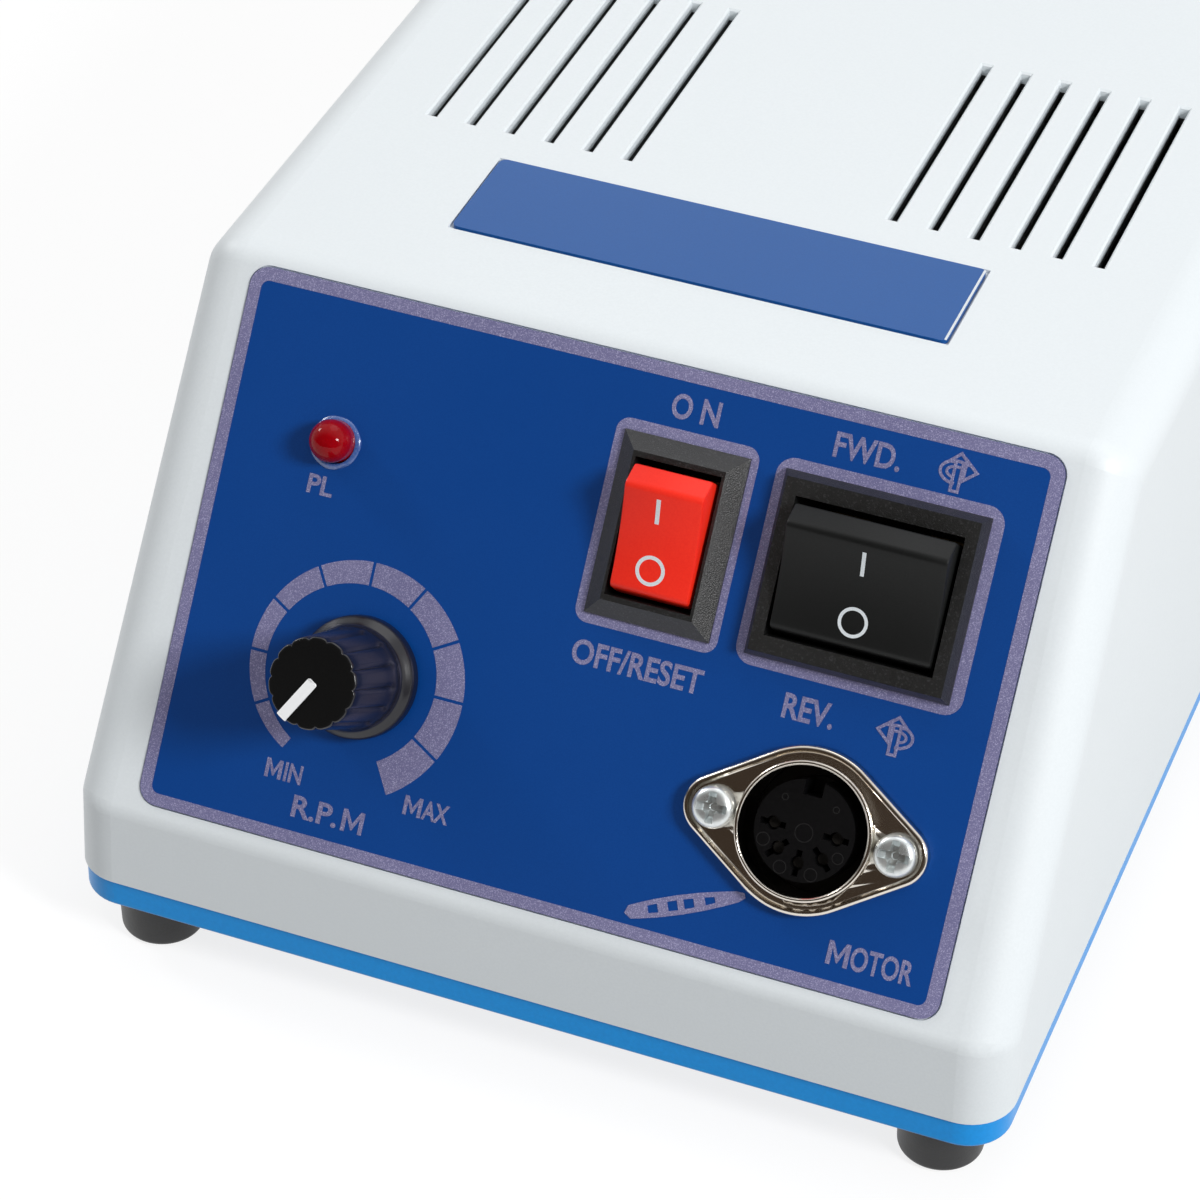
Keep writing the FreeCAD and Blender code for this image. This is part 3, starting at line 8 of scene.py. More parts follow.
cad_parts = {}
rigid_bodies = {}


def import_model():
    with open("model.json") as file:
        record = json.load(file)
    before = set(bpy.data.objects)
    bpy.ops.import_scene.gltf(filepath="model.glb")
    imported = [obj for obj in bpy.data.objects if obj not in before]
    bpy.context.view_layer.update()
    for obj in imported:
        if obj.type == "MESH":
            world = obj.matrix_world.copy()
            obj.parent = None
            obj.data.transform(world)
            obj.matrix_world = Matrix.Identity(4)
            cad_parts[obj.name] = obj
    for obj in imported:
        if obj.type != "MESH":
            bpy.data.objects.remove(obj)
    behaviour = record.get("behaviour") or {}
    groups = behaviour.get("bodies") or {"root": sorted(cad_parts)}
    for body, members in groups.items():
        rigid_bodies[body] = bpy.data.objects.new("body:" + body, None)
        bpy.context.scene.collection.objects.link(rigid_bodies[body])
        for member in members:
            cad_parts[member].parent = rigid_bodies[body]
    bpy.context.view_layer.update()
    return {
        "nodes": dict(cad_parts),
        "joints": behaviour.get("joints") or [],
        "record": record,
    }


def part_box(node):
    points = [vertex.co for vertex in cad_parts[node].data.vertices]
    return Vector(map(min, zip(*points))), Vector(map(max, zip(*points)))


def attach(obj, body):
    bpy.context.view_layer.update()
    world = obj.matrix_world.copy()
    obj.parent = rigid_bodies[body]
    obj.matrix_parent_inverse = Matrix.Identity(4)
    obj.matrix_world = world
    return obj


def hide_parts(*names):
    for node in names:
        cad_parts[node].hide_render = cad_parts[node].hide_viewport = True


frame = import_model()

cadNodes = frame["nodes"]
mm = 0.001
print("loaded", len(cadNodes), "nodes")

# the sloping panel: across to the right, up the slope, out of the plate
panelSlope = math.radians(55.7)
across = Vector((1.0, 0.0, 0.0))
upSlope = Vector((0.0, math.cos(panelSlope), math.sin(panelSlope)))
outward = Vector((0.0, -math.sin(panelSlope), math.cos(panelSlope)))
# the middle of the plate's surface, from the hinge of the power rocker
joints = {joint["name"]: joint for joint in frame["joints"]}
powerHinge = (6.5, 13.2, 0.7)
plateFace = Vector(joints["power_rocker_tilt"]["pos_m"])
plateFace -= mm * (powerHinge[0] * across + powerHinge[1] * upSlope + powerHinge[2] * outward)
# takes millimetres on the panel to the scene
panelToWorld = Matrix.Translation(plateFace) @ Matrix((across, upSlope, outward)).transposed().to_4x4()
panelToWorld = panelToWorld @ Matrix.Scale(mm, 4)
valueSockets = {float: "NodeSocketFloat", int: "NodeSocketInt", tuple: "NodeSocketVector"}
white = (1.0, 1.0, 1.0, 1.0)


def feed(tree, node, feeds):
    # each feed is the output of another node or a plain value
    for key, value in feeds.items():
        if isinstance(value, bpy.types.NodeSocket):
            tree.links.new(value, node.inputs[key])
        else:
            node.inputs[key].default_value = value
    return node


def addNode(tree, kind, feeds=None, **settings):
    made = tree.nodes.new(kind)
    for key, value in settings.items():
        setattr(made, key, value)
    return feed(tree, made, feeds or {})


def calc(tree, operation, first, second=0.0, third=0.0):
    return addNode(tree, "ShaderNodeMath", {0: first, 1: second, 2: third}, operation=operation).outputs[0]


def newGroup(name, inputs, outputs, kind="ShaderNodeTree", outputSocket="NodeSocketFloat"):
    # an input is given by its first value, or by the kind of its socket
    tree = bpy.data.node_groups.new(name, kind)
    for label, value in inputs.items():
        socketKind = valueSockets.get(type(value), value)
        made = tree.interface.new_socket(label, in_out="INPUT", socket_type=socketKind)
        if socketKind != value:
            made.default_value = value
    for label in outputs:
        tree.interface.new_socket(label, in_out="OUTPUT", socket_type=outputSocket)
    return tree, tree.nodes.new("NodeGroupInput").outputs, tree.nodes.new("NodeGroupOutput")


def shapeGroup(name, values):
    inputs = {"Geometry": "NodeSocketGeometry", **values, "Material": "NodeSocketMaterial"}
    return newGroup(name, inputs, ("Geometry",), "GeometryNodeTree", "NodeSocketGeometry")


def closeShape(tree, given, out, geometry):
    # the last nodes of a geometry tree
    real = addNode(tree, "GeometryNodeRealizeInstances", {0: geometry})
    dressed = addNode(tree, "GeometryNodeSetMaterial", {"Geometry": real.outputs[0], "Material": given["Material"]})
    feed(tree, out, {0: dressed.outputs[0]})
    return tree


def splitPosition(tree):
    return addNode(tree, "ShaderNodeSeparateXYZ", {0: addNode(tree, "GeometryNodeInputPosition").outputs[0]}).outputs


def roundPlace(tree, radius, angle, height):
    # a place round the Z axis
    return addNode(tree, "ShaderNodeCombineXYZ", {0: calc(tree, "MULTIPLY", radius, calc(tree, "COSINE", angle)),
                                                  1: calc(tree, "MULTIPLY", radius, calc(tree, "SINE", angle)),
                                                  2: height}).outputs[0]


def alongZ(tree, height):
    return addNode(tree, "ShaderNodeCombineXYZ", {2: height}).outputs[0]


def inScene(name, data):
    made = bpy.data.objects.new(name, data)
    bpy.context.scene.collection.objects.link(made)
    return made


def meshOf(name, points, faces):
    mesh = bpy.data.meshes.new(name)
    mesh.from_pydata([tuple(point) for point in points], [], faces)
    mesh.validate()
    mesh.update()
    return mesh


def shadeSmooth(mesh, sharpAngle=None):
    for face in mesh.polygons:
        face.use_smooth = True
    if sharpAngle is not None:
        mesh.set_sharp_from_angle(angle=math.radians(sharpAngle))


def evaluated(holder, name):
    # the holder's mesh as its modifier leaves it; the holder goes
    depsgraph = bpy.context.evaluated_depsgraph_get()
    mesh = bpy.data.meshes.new_from_object(holder.evaluated_get(depsgraph), depsgraph=depsgraph)
    holder.modifiers.clear()
    bpy.data.objects.remove(holder)
    mesh.name = name
    return mesh


def grown(name, startMesh, tree, values):
    # the result of a geometry tree as a plain mesh
    holder = inScene(name + "Holder", startMesh)
    modifier = holder.modifiers.new("tree", "NODES")
    modifier.node_group = tree
    for item in tree.interface.items_tree:
        if item.item_type == "SOCKET" and item.in_out == "INPUT" and item.name in values:
            modifier[item.identifier] = values[item.name]
    return evaluated(holder, name)


def maskGroup(name, inputs, outputs):
    # a group in the object's own coordinates, its size in millimetres
    tree, given, out = newGroup(name, inputs, outputs)
    place = addNode(tree, "ShaderNodeTexCoord").outputs["Object"]
    return tree, given, out, place, calc(tree, "DIVIDE", 1.0 / mm, given["Size"])


def grainGroup():
    # fine moulded or sprayed grain
    tree, given, out, place, scale = maskGroup(
        "fineGrain", {"Size": 0.3, "Detail": 3.0, "Stretch": (1.0, 1.0, 1.0)}, ("Height", "Mask"))
    stretched = addNode(tree, "ShaderNodeMapping", {"Vector": place, "Scale": given["Stretch"]})
    noise = addNode(tree, "ShaderNodeTexNoise", {"Vector": stretched.outputs[0], "Scale": scale,
                                                 "Detail": given["Detail"], "Roughness": 0.55})
    mask = addNode(tree, "ShaderNodeMapRange", {"Value": noise.outputs["Fac"], "From Min": 0.35, "From Max": 0.65})
    feed(tree, out, {"Height": noise.outputs["Fac"], "Mask": mask.outputs[0]})
    return tree


def patchGroup():
    # slow changes over a surface, as handling and moulding leave them
    tree, given, out, place, scale = maskGroup(
        "slowPatches", {"Size": 20.0, "Low": 0.0, "High": 1.0}, ("Mask", "Value"))
    noise = addNode(tree, "ShaderNodeTexNoise", {"Vector": place, "Scale": scale, "Detail": 4.0, "Roughness": 0.6})
    mask = addNode(tree, "ShaderNodeMapRange", {"Value": noise.outputs["Fac"], "From Min": 0.3, "From Max": 0.7})
    value = addNode(tree, "ShaderNodeMapRange", {"Value": mask.outputs[0], "To Min": given["Low"],
                                                 "To Max": given["High"]})
    feed(tree, out, {"Mask": mask.outputs[0], "Value": value.outputs[0]})
    return tree


def sparkleGroup():
    # painted glints: small flakes, each given a lighter colour that stands in for the light it catches
    tree, given, out, place, scale = maskGroup("sparkle", {"Size": 0.12, "Share": 0.3}, ("Mask",))
    cells = addNode(tree, "ShaderNodeTexVoronoi", {"Vector": place, "Scale": scale})
    tone = addNode(tree, "ShaderNodeSeparateColor", {0: cells.outputs["Color"]})
    edge = calc(tree, "SUBTRACT", 1.0, given["Share"])
    mask = addNode(tree, "ShaderNodeMapRange", {"Value": tone.outputs[0], "From Min": edge, "From Max": 1.0})
    feed(tree, out, {"Mask": mask.outputs[0]})
    return tree


# painted shade: the region inside the cover that shows through the vents, in millimetres, coloured dark for the shade
# that lies there
coverInside = {"top": 76.7, "side": 50.0, "rear": 82.0, "front": -92.0, "underPlate": -3.2}


def insideShadeGroup():
    # a mask of the painted shade inside the cover
    tree, given, out = newGroup("coverInside", {}, ("Mask",))
    place = addNode(tree, "ShaderNodeTexCoord").outputs["Object"]
    spot = addNode(tree, "ShaderNodeSeparateXYZ", {0: place}).outputs
    fromPlate = addNode(tree, "ShaderNodeVectorMath", {0: place, 1: tuple(plateFace)}, operation="SUBTRACT")
    lift = addNode(tree, "ShaderNodeVectorMath", {0: fromPlate.outputs[0], 1: tuple(outward)}, operation="DOT_PRODUCT")
    spare = calc(tree, "SUBTRACT", coverInside["top"] * mm, spot["Z"])
    for first, second in ((coverInside["side"] * mm, calc(tree, "ABSOLUTE", spot["X"])),
                          (coverInside["rear"] * mm, spot["Y"]), (spot["Y"], coverInside["front"] * mm),
                          (coverInside["underPlate"] * mm, lift.outputs["Value"])):
        spare = calc(tree, "MINIMUM", spare, calc(tree, "SUBTRACT", first, second))
    feed(tree, out, {"Mask": calc(tree, "GREATER_THAN", spare, 0.0)})
    return tree


groups = {"grain": grainGroup(), "patch": patchGroup(), "sparkle": sparkleGroup(), "inside": insideShadeGroup()}


def useGroup(tree, name, feeds=None):
    return addNode(tree, "ShaderNodeGroup", feeds, node_tree=groups[name])


def mixColor(tree, factor, first, second):
    made = addNode(tree, "ShaderNodeMix", {0: factor, 6: first, 7: second}, data_type="RGBA")
    return made.outputs[2]


def rgba(color):
    return (color[0], color[1], color[2], 1.0)


def clearTree(owner):
    owner.use_nodes = True
    owner.node_tree.nodes.clear()
    return owner.node_tree


def surface(name, look):
    # a plastic, painted or metal finish from one dictionary
    material = bpy.data.materials.new(name)
    tree = clearTree(material)
    patch = useGroup(tree, "patch", {"Size": look.get("patchSize", 25.0), "Low": look["roughness"][0],
                                     "High": look["roughness"][1]})
    grain = useGroup(tree, "grain", {"Size": look["grainSize"], "Detail": look.get("grainDetail", 3.0),
                                     "Stretch": look.get("stretch", (1.0, 1.0, 1.0))})
    color = mixColor(tree, patch.outputs["Mask"], rgba(look["color"]), rgba(look["second"]))
    # painted glints: lighter flakes over the colour, for the sparkle of the print and the bezels
    if "fleck" in look:
        glintFlake = useGroup(tree, "sparkle", {"Size": look["fleckSize"], "Share": look["fleckShare"]})
        color = mixColor(tree, glintFlake.outputs["Mask"], color, rgba(look["fleck"]))
    else:
        color = mixColor(tree, grain.outputs["Mask"], color, rgba(look.get("third", look["second"])))
    # painted shade: the cover's inside, seen through the vents, is darkened
    if "inside" in look:
        color = mixColor(tree, useGroup(tree, "inside").outputs["Mask"], color, rgba(look["inside"]))
    bump = addNode(tree, "ShaderNodeBump", {"Height": grain.outputs["Height"], "Distance": look["grainHeight"] * mm,
                                            "Strength": 1.0})
    shader = addNode(tree, "ShaderNodeBsdfPrincipled",
                     {"Base Color": color, "Roughness": patch.outputs["Value"], "Normal": bump.outputs[0],
                      "Metallic": look.get("metallic", 0.0), "IOR": 1.5,
                      "Coat Weight": look.get("coat", 0.0), "Coat Roughness": look.get("coatRoughness", 0.05),
                      "Specular IOR Level": look.get("specular", 0.5),
                      "Transmission Weight": look.get("transmission", 0.0),
                      "Subsurface Weight": look.get("subsurface", 0.0),
                      "Subsurface Scale": look.get("depth", 1.0) * mm})
    addNode(tree, "ShaderNodeOutputMaterial", {"Surface": shader.outputs[0]})
    return material


looks = {
    "whiteCover": {"color": (0.775, 0.82, 0.845), "second": (0.79, 0.835, 0.86), "third": (0.765, 0.81, 0.835),
                   "roughness": (0.42, 0.48), "grainSize": 0.35, "grainHeight": 0.006, "patchSize": 40.0,
                   "inside": (0.045, 0.045, 0.045)},
    "blueTray": {"color": (0.003, 0.31, 0.82), "second": (0.004, 0.325, 0.85), "third": (0.002, 0.295, 0.79),
                 "roughness": (0.30, 0.38), "grainSize": 0.5, "grainHeight": 0.004, "specular": 0.28},
    "bluePlate": {"color": (0.0015, 0.057, 0.279), "second": (0.002, 0.061, 0.295), "third": (0.001, 0.052, 0.262),
                  "roughness": (0.32, 0.38), "grainSize": 0.16, "grainHeight": 0.008, "patchSize": 30.0,
                  "specular": 0.25},
    "topPlateBlue": {"color": (0.001, 0.083, 0.32), "second": (0.002, 0.088, 0.335), "third": (0.001, 0.078, 0.30),
                     "roughness": (0.30, 0.36), "grainSize": 0.16, "grainHeight": 0.006, "patchSize": 30.0,
                     "specular": 0.42},
    "lilacPrint": {"color": (0.205, 0.198, 0.385), "second": (0.235, 0.225, 0.41), "roughness": (0.38, 0.50),
                   "grainSize": 0.14, "grainHeight": 0.03, "metallic": 0.25, "fleck": (0.50, 0.48, 0.72),
                   "fleckSize": 0.085, "fleckShare": 0.32},
    "redLamp": {"color": (0.25, 0.0008, 0.003), "second": (0.32, 0.001, 0.005), "roughness": (0.04, 0.08),
                "grainSize": 2.0, "grainHeight": 0.006, "specular": 0.16, "subsurface": 0.2, "depth": 1.2},
    "clearLacquer": {"color": (0.02, 0.08, 0.30), "second": (0.03, 0.10, 0.34), "third": (0.08, 0.14, 0.38),
                     "roughness": (0.08, 0.16), "grainSize": 0.3, "grainHeight": 0.09, "coat": 1.0,
                     "coatRoughness": 0.03},
    "redRocker": {"color": (0.95, 0.026, 0.010), "second": (0.97, 0.032, 0.012), "third": (0.93, 0.022, 0.009),
                  "roughness": (0.30, 0.38), "grainSize": 0.25, "grainHeight": 0.004, "specular": 0.3},
    "blackRocker": {"color": (0.0045, 0.005, 0.005), "second": (0.007, 0.0075, 0.0075), "roughness": (0.40, 0.50),
                    "grainSize": 0.2, "grainHeight": 0.008, "specular": 0.25},
    "blackPlastic": {"color": (0.006, 0.006, 0.007), "second": (0.009, 0.009, 0.010), "roughness": (0.42, 0.52),
                     "grainSize": 0.2, "grainHeight": 0.02, "specular": 0.3},
    "bezelPlastic": {"color": (0.003, 0.0033, 0.0033), "second": (0.005, 0.0055, 0.0055), "roughness": (0.36, 0.44),
                     "grainSize": 0.15, "grainHeight": 0.06, "fleck": (0.03, 0.03, 0.032), "fleckSize": 0.16,
                     "fleckShare": 0.18, "specular": 0.75},
    "insertPlastic": {"color": (0.003, 0.003, 0.0035), "second": (0.005, 0.005, 0.0055), "roughness": (0.28, 0.36),
                      "grainSize": 0.4, "grainHeight": 0.01, "specular": 0.25},
    "insertGloss": {"color": (0.010, 0.010, 0.011), "second": (0.016, 0.016, 0.017), "roughness": (0.16, 0.24),
                    "grainSize": 0.5, "grainHeight": 0.03, "specular": 0.6},
    # painted shade: the socket's contacts, deep in shaded holes, are coloured near black
    "darkContacts": {"color": (0.004, 0.0036, 0.003), "second": (0.010, 0.008, 0.006), "roughness": (0.5, 0.6),
                     "grainSize": 0.3, "grainHeight": 0.01, "specular": 0.3},
    "markWhite": {"color": (0.74, 0.78, 0.80), "second": (0.80, 0.82, 0.84), "third": (0.64, 0.70, 0.74),
                  "roughness": (0.45, 0.55), "grainSize": 0.12, "grainHeight": 0.01},
    "pointerWhite": {"color": (0.90, 0.91, 0.93), "second": (0.94, 0.95, 0.96), "roughness": (0.30, 0.36),
                     "grainSize": 0.3, "grainHeight": 0.004},
    # the slight violet in this black is painted sheen, standing in for the blue plate's reflection
    "knobBlack": {"color": (0.0055, 0.0055, 0.009), "second": (0.008, 0.008, 0.0125), "roughness": (0.2, 0.28),
                  "grainSize": 0.5, "grainHeight": 0.003, "patchSize": 8.0},
    "knobCap": {"color": (0.0015, 0.0015, 0.0015), "second": (0.0025, 0.0025, 0.0025), "roughness": (0.55, 0.65),
                "grainSize": 0.18, "grainHeight": 0.03, "specular": 0.14},
    "brightNickel": {"color": (0.70, 0.65, 0.58), "second": (0.76, 0.71, 0.64), "roughness": (0.12, 0.20),
                     "grainSize": 7.0, "grainHeight": 0.12, "grainDetail": 1.0, "metallic": 1.0, "patchSize": 12.0},
    "brightZinc": {"color": (0.78, 0.83, 0.84), "second": (0.84, 0.86, 0.84), "third": (0.72, 0.76, 0.77),
                   "roughness": (0.26, 0.40), "grainSize": 0.5, "grainHeight": 0.012, "metallic": 0.82,
                   "patchSize": 3.0},
    "plainSteel": {"color": (0.30, 0.31, 0.32), "second": (0.38, 0.38, 0.38), "roughness": (0.34, 0.5),
                   "grainSize": 0.5, "grainHeight": 0.02, "metallic": 1.0, "stretch": (0.1, 0.1, 3.0)},
    "aluminium": {"color": (0.60, 0.61, 0.62), "second": (0.68, 0.69, 0.70), "roughness": (0.28, 0.42),
                  "grainSize": 0.4, "grainHeight": 0.01, "metallic": 1.0, "stretch": (0.2, 3.0, 3.0)},
    "tinnedBrass": {"color": (0.58, 0.42, 0.17), "second": (0.66, 0.55, 0.34), "roughness": (0.22, 0.38),
                    "grainSize": 0.5, "grainHeight": 0.01, "metallic": 1.0, "patchSize": 4.0},
    "copperWire": {"color": (0.46, 0.13, 0.04), "second": (0.56, 0.18, 0.06), "roughness": (0.24, 0.36),
                   "grainSize": 0.5, "grainHeight": 0.10, "metallic": 0.8, "stretch": (0.05, 0.05, 2.0),
                   "grainDetail": 0.0},
    "blackRubber": {"color": (0.010, 0.010, 0.011), "second": (0.018, 0.018, 0.019), "third": (0.013, 0.013, 0.013),
                    "roughness": (0.36, 0.5), "grainSize": 0.3, "grainHeight": 0.02, "patchSize": 5.0},
    "greenBoard": {"color": (0.006, 0.075, 0.022), "second": (0.008, 0.095, 0.028), "third": (0.012, 0.13, 0.04),
                   "roughness": (0.22, 0.32), "grainSize": 3.2, "grainHeight": 0.03, "coat": 0.4,
                   "stretch": (0.35, 1.6, 1.0)},
    "darkSleeve": {"color": (0.006, 0.008, 0.028), "second": (0.010, 0.012, 0.04), "roughness": (0.22, 0.32),
                   "grainSize": 0.8, "grainHeight": 0.01},
    "creamPlastic": {"color": (0.72, 0.66, 0.50), "second": (0.78, 0.72, 0.56), "roughness": (0.42, 0.52),
                     "grainSize": 0.4, "grainHeight": 0.01},
    "fuseGlass": {"color": (0.86, 0.92, 0.90), "second": (0.90, 0.94, 0.93), "roughness": (0.02, 0.05),
                  "grainSize": 3.0, "grainHeight": 0.004, "transmission": 0.9},
    "brownBody": {"color": (0.24, 0.12, 0.05), "second": (0.30, 0.16, 0.07), "roughness": (0.3, 0.42),
                  "grainSize": 0.5, "grainHeight": 0.01},
}
finishes = {name: surface(name, look) for name, look in looks.items()}
print("made", len(finishes), "finishes")

# the finishes that aren't named after their slot
slotFinishes = {"zinc_steel": "brightZinc", "brass": "tinnedBrass", "rubber": "blackRubber"}
ownFinishes = {"top_plate": "topPlateBlue", "motor_socket_insert": "insertPlastic",
               "motor_socket_contacts": "darkContacts", "power_switch_body": "bezelPlastic",
               "direction_switch_body": "bezelPlastic"}
nodeSlots = {name: node.data.materials[0].name.split(".")[0] for name, node in cadNodes.items()}
bodyNodes = frame["record"]["behaviour"]["bodies"]
nodeBodies = {node: body for body, nodes in bodyNodes.items() for node in nodes}


def finishOf(node):
    first, *others = nodeSlots[node].split("_")
    usual = first + "".join(word.capitalize() for word in others)
    return ownFinishes.get(node, slotFinishes.get(nodeSlots[node], usual))


for name, node in cadNodes.items():
    for index in range(len(node.data.materials)):
        node.data.materials[index] = finishes[finishOf(name)]
print("finished the carried-over nodes")


def addPiece(name, mesh, body, finish, replaced=()):
    mesh.materials.clear()
    mesh.materials.append(finishes[finish])
    piece = inScene(name, mesh)
    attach(piece, body)
    if replaced:
        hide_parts(*replaced)


smoothPieces = {"powerLamp": "power_lamp", "motorSocketShell": "motor_socket_shell", "fuseCap": "fuse_cap",
                "fuseHolder": "fuse_holder", "pedalJackNut": "pedal_jack_nut", "pedalJack": "pedal_jack",
                "knobPointer": "knob_pointer", "frontLeftFoot": "foot_front_left",
                "frontRightFoot": "foot_front_right", "rearLeftFoot": "foot_rear_left",
                "rearRightFoot": "foot_rear_right", "filterCapacitors": "filter_capacitors"}
smoothAngle = 28.0
mergeDistance = 0.000001


def mergedMesh(name, node):
    # a copy of a node's mesh with its loose triangles joined
    mesh = cadNodes[node].data.copy()
    mesh.name = name
    work = bmesh.new()
    work.from_mesh(mesh)
    bmesh.ops.remove_doubles(work, verts=work.verts, dist=mergeDistance)
    work.to_mesh(mesh)
    work.free()
    return mesh


def smoothMesh(name, node):
    # curved faces shaded round, flat ones kept flat
    mesh = mergedMesh(name + "Merged", node)
    shadeSmooth(mesh, smoothAngle)
    holder = inScene(name + "Holder", mesh)
    holder.modifiers.new("evenShading", "WEIGHTED_NORMAL").keep_sharp = True
    return evaluated(holder, name)


for name, node in smoothPieces.items():
    addPiece(name, smoothMesh(name, node), nodeBodies[node], finishOf(node), (node,))
print("smoothed", len(smoothPieces), "pieces")


# the border and the switches' frames: outer box and corner, inner box and corner
plateInk = {"low": -0.05, "high": 0.02, "step": 0.0015, "cornerSteps": 8, "sharpestMitre": 0.35, "frames": [
    ((-48.9, -32.05, 48.9, 32.05), 2.3, (-47.45, -30.6, 47.3, 30.5), 1.0),
    ((-2.15, 1.4, 14.9, 25.1), 1.6, (-0.6, 3.1, 13.6, 23.3), 0.3),
    ((17.05, 1.4, 43.6, 25.1), 2.1, (18.7, 3.1, 41.7, 23.3), 0.3)]}
# left, low, right and high side of each word
plateWords = [
    ("O", 3.6, 26.2, 6.05, 29.1), ("N", 7.15, 26.2, 9.35, 29.1), ("FWD.", 22.85, 26.2, 30.6, 29.1),
    ("OFF/RESET", -1.4, -3.4, 14.25, -0.5), ("REV.", 23.9, -3.4, 29.85, -0.5), ("PL", -36.7, 7.9, -33.55, 10.15),
    ("IN", -31.85, -25.25, -29.65, -23.0), ("AX", -14.55, -25.25, -11.3, -23.0),
    ("R.P.", -30.0, -29.0, -24.35, -26.4), ("OTOR", 37.95, -28.85, 45.25, -26.05)]
wordShape = {"boldness": 0.024, "curveSteps": 4}
# left and low side, width, height and stem of each M, which the font would fill up
letterMs = {"places": [(-34.2, -25.25, 2.05, 2.25, 0.44), (-16.85, -25.25, 2.2, 2.25, 0.44),
                       (-23.75, -29.0, 2.65, 2.6, 0.5), (35.2, -28.8, 2.55, 2.7, 0.52)],
            "foot": 0.12, "dip": 1.55, "point": 0.08}
# each arc by its reach, start, sweep and steps; the last number of a place is the side it turns to
turnSigns = {"places": [(37.1, 27.8, 1), (37.1, -2.2, -1)], "line": 0.34, "innerLine": 0.306,
             "spindle": [(-0.42, -2.15), (-0.42, 1.05), (-1.15, 1.05), (0.0, 2.1), (1.15, 1.05), (0.42, 1.05),
                         (0.42, -2.15)],
             "middle": (-0.15, -0.05), "outerArc": ((1.85, 1.25), 60.0, 210.0, 18),
             "innerArc": ((1.1, 0.62), 70.0, 190.0, 12), "tip": [(0.75, 1.5), (2.15, 0.35), (0.75, -0.8)]}
# shares of its length and half widths; the bands have full line widths
handpiece = {"start": (11.75, -29.25), "end": (24.35, -24.0), "line": 0.55,
             "side": [(0.03, 0.5), (0.10, 0.62), (0.25, 0.78), (0.45, 0.84), (0.65, 0.76), (0.82, 0.56), (0.95, 0.36),
                      (1.0, 0.1)],
             "bands": [(0.31, 1.2), (0.466, 0.75), (0.628, 1.3)], "bandReach": 0.7,
             "fills": [[(0.02, 0.4), (0.08, 0.62), (0.179, 0.72)], [(0.763, 0.68), (0.88, 0.5), (0.99, 0.2)]]}


def arc(x, y, reach, start, sweep, steps):
    turns = [math.radians(start + sweep * step / steps) for step in range(steps + 1)]
    return [(x + reach[0] * math.cos(turn), y + reach[1] * math.sin(turn)) for turn in turns]


def roundedLoop(box, corner):
    left, low, right, high = box
    loop = []
    for x, y, start in ((right - corner, high - corner, 0.0), (left + corner, high - corner, 90.0),
                        (left + corner, low + corner, 180.0), (right - corner, low + corner, 270.0)):
        loop += arc(x, y, (corner, corner), start, 90.0, plateInk["cornerSteps"])
    return loop


class Sheet:
    # closed flat shapes in millimetres, each a hair higher than the last, for the places where they cross
    def __init__(self, low, high):
        self.low, self.high, self.points, self.faces = low, high, [], []

    def ring(self, outer, inner):
        count, base = len(outer), len(self.points)
        for height in (self.low, self.high):
            self.points += [(x, y, height) for x, y in outer] + [(x, y, height) for x, y in inner]
        for i in range(count):
            j = (i + 1) % count
            low = (base + i, base + j, base + count + j, base + count + i)
            a, b, c, d = (index + 2 * count for index in low)
            self.faces += [(a, b, c, d), low[::-1], (low[0], low[1], b, a), (low[2], low[3], d, c)]
        self.high += plateInk["step"]

    def patch(self, loop):
        count, base = len(loop), len(self.points)
        for height in (self.low, self.high):
            self.points += [(x, y, height) for x, y in loop]
        self.faces += [tuple(base + count + i for i in range(count)), tuple(base + i for i in reversed(range(count)))]
        for i in range(count):
            j = (i + 1) % count
            self.faces.append((base + i, base + j, base + count + j, base + count + i))
        self.high += plateInk["step"]

    def stroke(self, path, width, closed=False):
        # a mitred line of even width
        count = len(path)
        sides = ([], [])
        for i, here in enumerate(path):
            here = Vector(here)
            before = Vector(path[i - 1]) if closed or i else None
            after = Vector(path[(i + 1) % count]) if closed or i < count - 1 else None
            first = (here - before).normalized() if before is not None else (after - here).normalized()
            second = (after - here).normalized() if after is not None else first
            middle = (first + second).normalized()
            normal = Vector((-middle.y, middle.x))
            reach = width / 2 / max(plateInk["sharpestMitre"], normal.dot(Vector((-first.y, first.x))))
            sides[0].append(tuple(here - normal * reach))
            sides[1].append(tuple(here + normal * reach))
        if closed:
            self.ring(sides[0], sides[1])
        else:
            self.patch(sides[0] + sides[1][::-1])

    def word(self, text, left, low, right, high):
        # a word in the built-in font, stretched to its box
        curve = bpy.data.curves.new(text, "FONT")
        curve.body, curve.size, curve.offset = text, 1.0, wordShape["boldness"]
        curve.resolution_u, curve.extrude = wordShape["curveSteps"], 0.5
        holder = inScene(text, curve)
        bpy.context.view_layer.update()
        mesh = bpy.data.meshes.new_from_object(holder)
        xs = [v.co.x for v in mesh.vertices]
        ys = [v.co.y for v in mesh.vertices]
        base = len(self.points)
        for v in mesh.vertices:
            x = left + (v.co.x - min(xs)) / (max(xs) - min(xs)) * (right - left)
            y = low + (v.co.y - min(ys)) / (max(ys) - min(ys)) * (high - low)
            self.points.append((x, y, self.high if v.co.z > 0 else self.low))
        self.faces += [tuple(base + i for i in face.vertices) for face in mesh.polygons]
        bpy.data.objects.remove(holder)
        bpy.data.meshes.remove(mesh)
        bpy.data.curves.remove(curve)

    def made(self, name, toWorld):
        mesh = meshOf(name, self.points, self.faces)
        mesh.transform(toWorld)
        return mesh


def letterM(sheet, left, low, width, height, stem):
    # two stems and a mitred middle
    right, high = left + width - stem, low + height
    for x in (left, right):
        sheet.patch([(x, low), (x + stem, low), (x + stem, high), (x, high)])
    foot, dip, middle = low + letterMs["foot"] * height, letterMs["dip"] * stem, left + width / 2
    sheet.patch([(left + stem, high), (left + stem, high - dip), (middle - letterMs["point"], foot),
                 (middle + letterMs["point"], foot), (right, high - dip), (right, high), (middle, foot + dip)])


